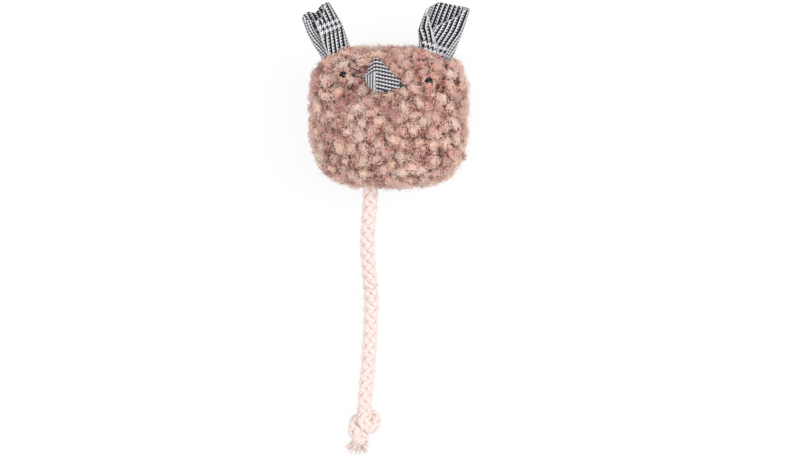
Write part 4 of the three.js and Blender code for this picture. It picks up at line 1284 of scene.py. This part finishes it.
lashes = dict(
    count=8, jitter=0.4, turn=1.2, start=2.9, end=(0.5, 1.6), over=0.2, lift=0.1, level=3.4,
    tone=(0.2, 0.7), hue=0.5, radius=(0.08, 0.14), steps=6,
)
s = np.linspace(0, 1, lashes["steps"])[None]
hairs, guides = [], []
for spot in eyeSpots:
    outward, sideOne, sideTwo, turn = aboutEye(spot, lashes["count"], lashes["jitter"])
    turn = turn + rng.uniform(-lashes["turn"], lashes["turn"], (lashes["count"], 1)) * s
    reach = lashes["start"] + (rng.uniform(*lashes["end"], (lashes["count"], 1)) - lashes["start"]) * s
    rise = np.sqrt(np.maximum((eye["radius"] + lashes["over"]) ** 2 - reach**2, 0)) + lashes["lift"]
    flat = np.cos(turn)[..., None] * sideOne + np.sin(turn)[..., None] * sideTwo
    hairs.append(spot + reach[..., None] * flat + rise[..., None] * outward)
    guides.append(np.broadcast_to(outward, (lashes["count"], 3)))
outs = np.concatenate(guides)
spots = np.repeat(eyeSpots, lashes["count"], 0) + lashes["level"] * outs
tones = rng.uniform(*lashes["tone"], len(spots))
hues = np.full(len(spots), lashes["hue"])
pilePiece("eye_fibres", np.concatenate(hairs), lashes["radius"], outs[:, None], tones, hues, spots, outs)

# Inner pieces that keep their solids

innerFinishes = dict(
    stuffing=fillingFinish, nose_stuffing=fillingFinish, rope_anchor=cottonFinish,
    front_seam_thread=tanThreadFinish, back_seam_thread=tanThreadFinish, band_seam_thread=tanThreadFinish,
    eye_thread_left=blackThreadFinish, eye_thread_right=blackThreadFinish,
)
for title, finish in innerFinishes.items():
    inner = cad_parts[title]
    inner.data.materials.clear()
    inner.data.materials.append(finish)
print("inner pieces finished")

# Floor, world and lamps

studio = dict(
    floorSize=6.0, paper=srgb(250, 250, 250), cloud=srgb(245, 245, 246), cloudShare=0.3, scales=(3.0, 600.0),
    surface={"Roughness": 0.95, "Specular IOR Level": 0.0}, shown=0.86, fade=(0.25, 1.1),
    white=(1, 1, 1, 1), ambient=0.63, aim=(0.0, -0.04, 0.02),
    lamps=dict(  # place in metres, power, size
        keyLamp=((0.8, 0.2, 1.05), 7.9, 0.7),
        fillLamp=((-0.9, -0.3, 0.9), 4.3, 1.0),
        topLamp=((0.05, -0.1, 1.6), 6.5, 0.9),
    ),
)


def seenDirectly(tree):
    # 1 for what the camera, a reflection or a clear piece shows, 0 for light on the object
    paths = node(tree, "ShaderNodeLightPath").outputs
    mirrored = maths(tree, "MAXIMUM", paths["Is Glossy Ray"], paths["Is Transmission Ray"])
    return maths(tree, "MAXIMUM", paths["Is Camera Ray"], mirrored)


half = studio["floorSize"] / 2 / mm
floorCorners = [(-half, -half, 0), (half, -half, 0), (half, half, 0), (-half, half, 0)]
floor = putMesh("studioFloor", floorCorners, [(0, 1, 2, 3)])
floorFinish, tree, shader = newTree("palePaper")
clouds = mottle(tree, *studio["scales"])["Patch"]
colour = tint(tree, studio["paper"], clouds, studio["cloudShare"], studio["cloud"])
surface(tree, shader, colour, studio["surface"])
place = node(tree, "ShaderNodeTexCoord").outputs["Object"]
away = node(tree, "ShaderNodeVectorMath", {0: place}, operation="LENGTH").outputs["Value"]
near, far = studio["fade"]
# beyond the fade the surround is white
sockets = {"Value": away, "From Min": near, "From Max": far, "To Min": studio["shown"]}
shown = node(tree, "ShaderNodeMapRange", sockets, interpolation_type="SMOOTHSTEP").outputs[0]
glow = node(tree, "ShaderNodeEmission", {"Color": studio["white"]}).outputs[0]
mask = maths(tree, "MULTIPLY", seenDirectly(tree), shown)
mixed = node(tree, "ShaderNodeMixShader", {0: mask, 1: shader.outputs[0], 2: glow})
tree.links.new(mixed.outputs[0], tree.nodes["Material Output"].inputs["Surface"])
floor.data.materials.append(floorFinish)

world = bpy.data.worlds.new("studioWorld")
world.use_nodes = True
bpy.context.scene.world = world
tree = world.node_tree
sockets = {"Color": studio["white"], "Strength": studio["ambient"]}
ambient = node(tree, "ShaderNodeBackground", sockets).outputs[0]
white = node(tree, "ShaderNodeBackground", {"Color": studio["white"]}).outputs[0]
mixed = node(tree, "ShaderNodeMixShader", {0: seenDirectly(tree), 1: ambient, 2: white})
tree.links.new(mixed.outputs[0], tree.nodes["World Output"].inputs["Surface"])

for name, (place, power, size) in studio["lamps"].items():
    data = bpy.data.lights.new(name, "AREA")
    data.energy = power
    data.size = size
    lamp = bpy.data.objects.new(name, data)
    lamp.location = place
    aimed = unit(np.array(studio["aim"]) - np.array(place))
    tilt, heading = np.arccos(-aimed[2]), np.arctan2(aimed[1], aimed[0]) - np.pi / 2
    lamp.rotation_euler = (float(tilt), 0.0, float(heading))
    bpy.context.scene.collection.objects.link(lamp)
bpy.context.scene.view_settings.view_transform = "Standard"
print("studio ready")
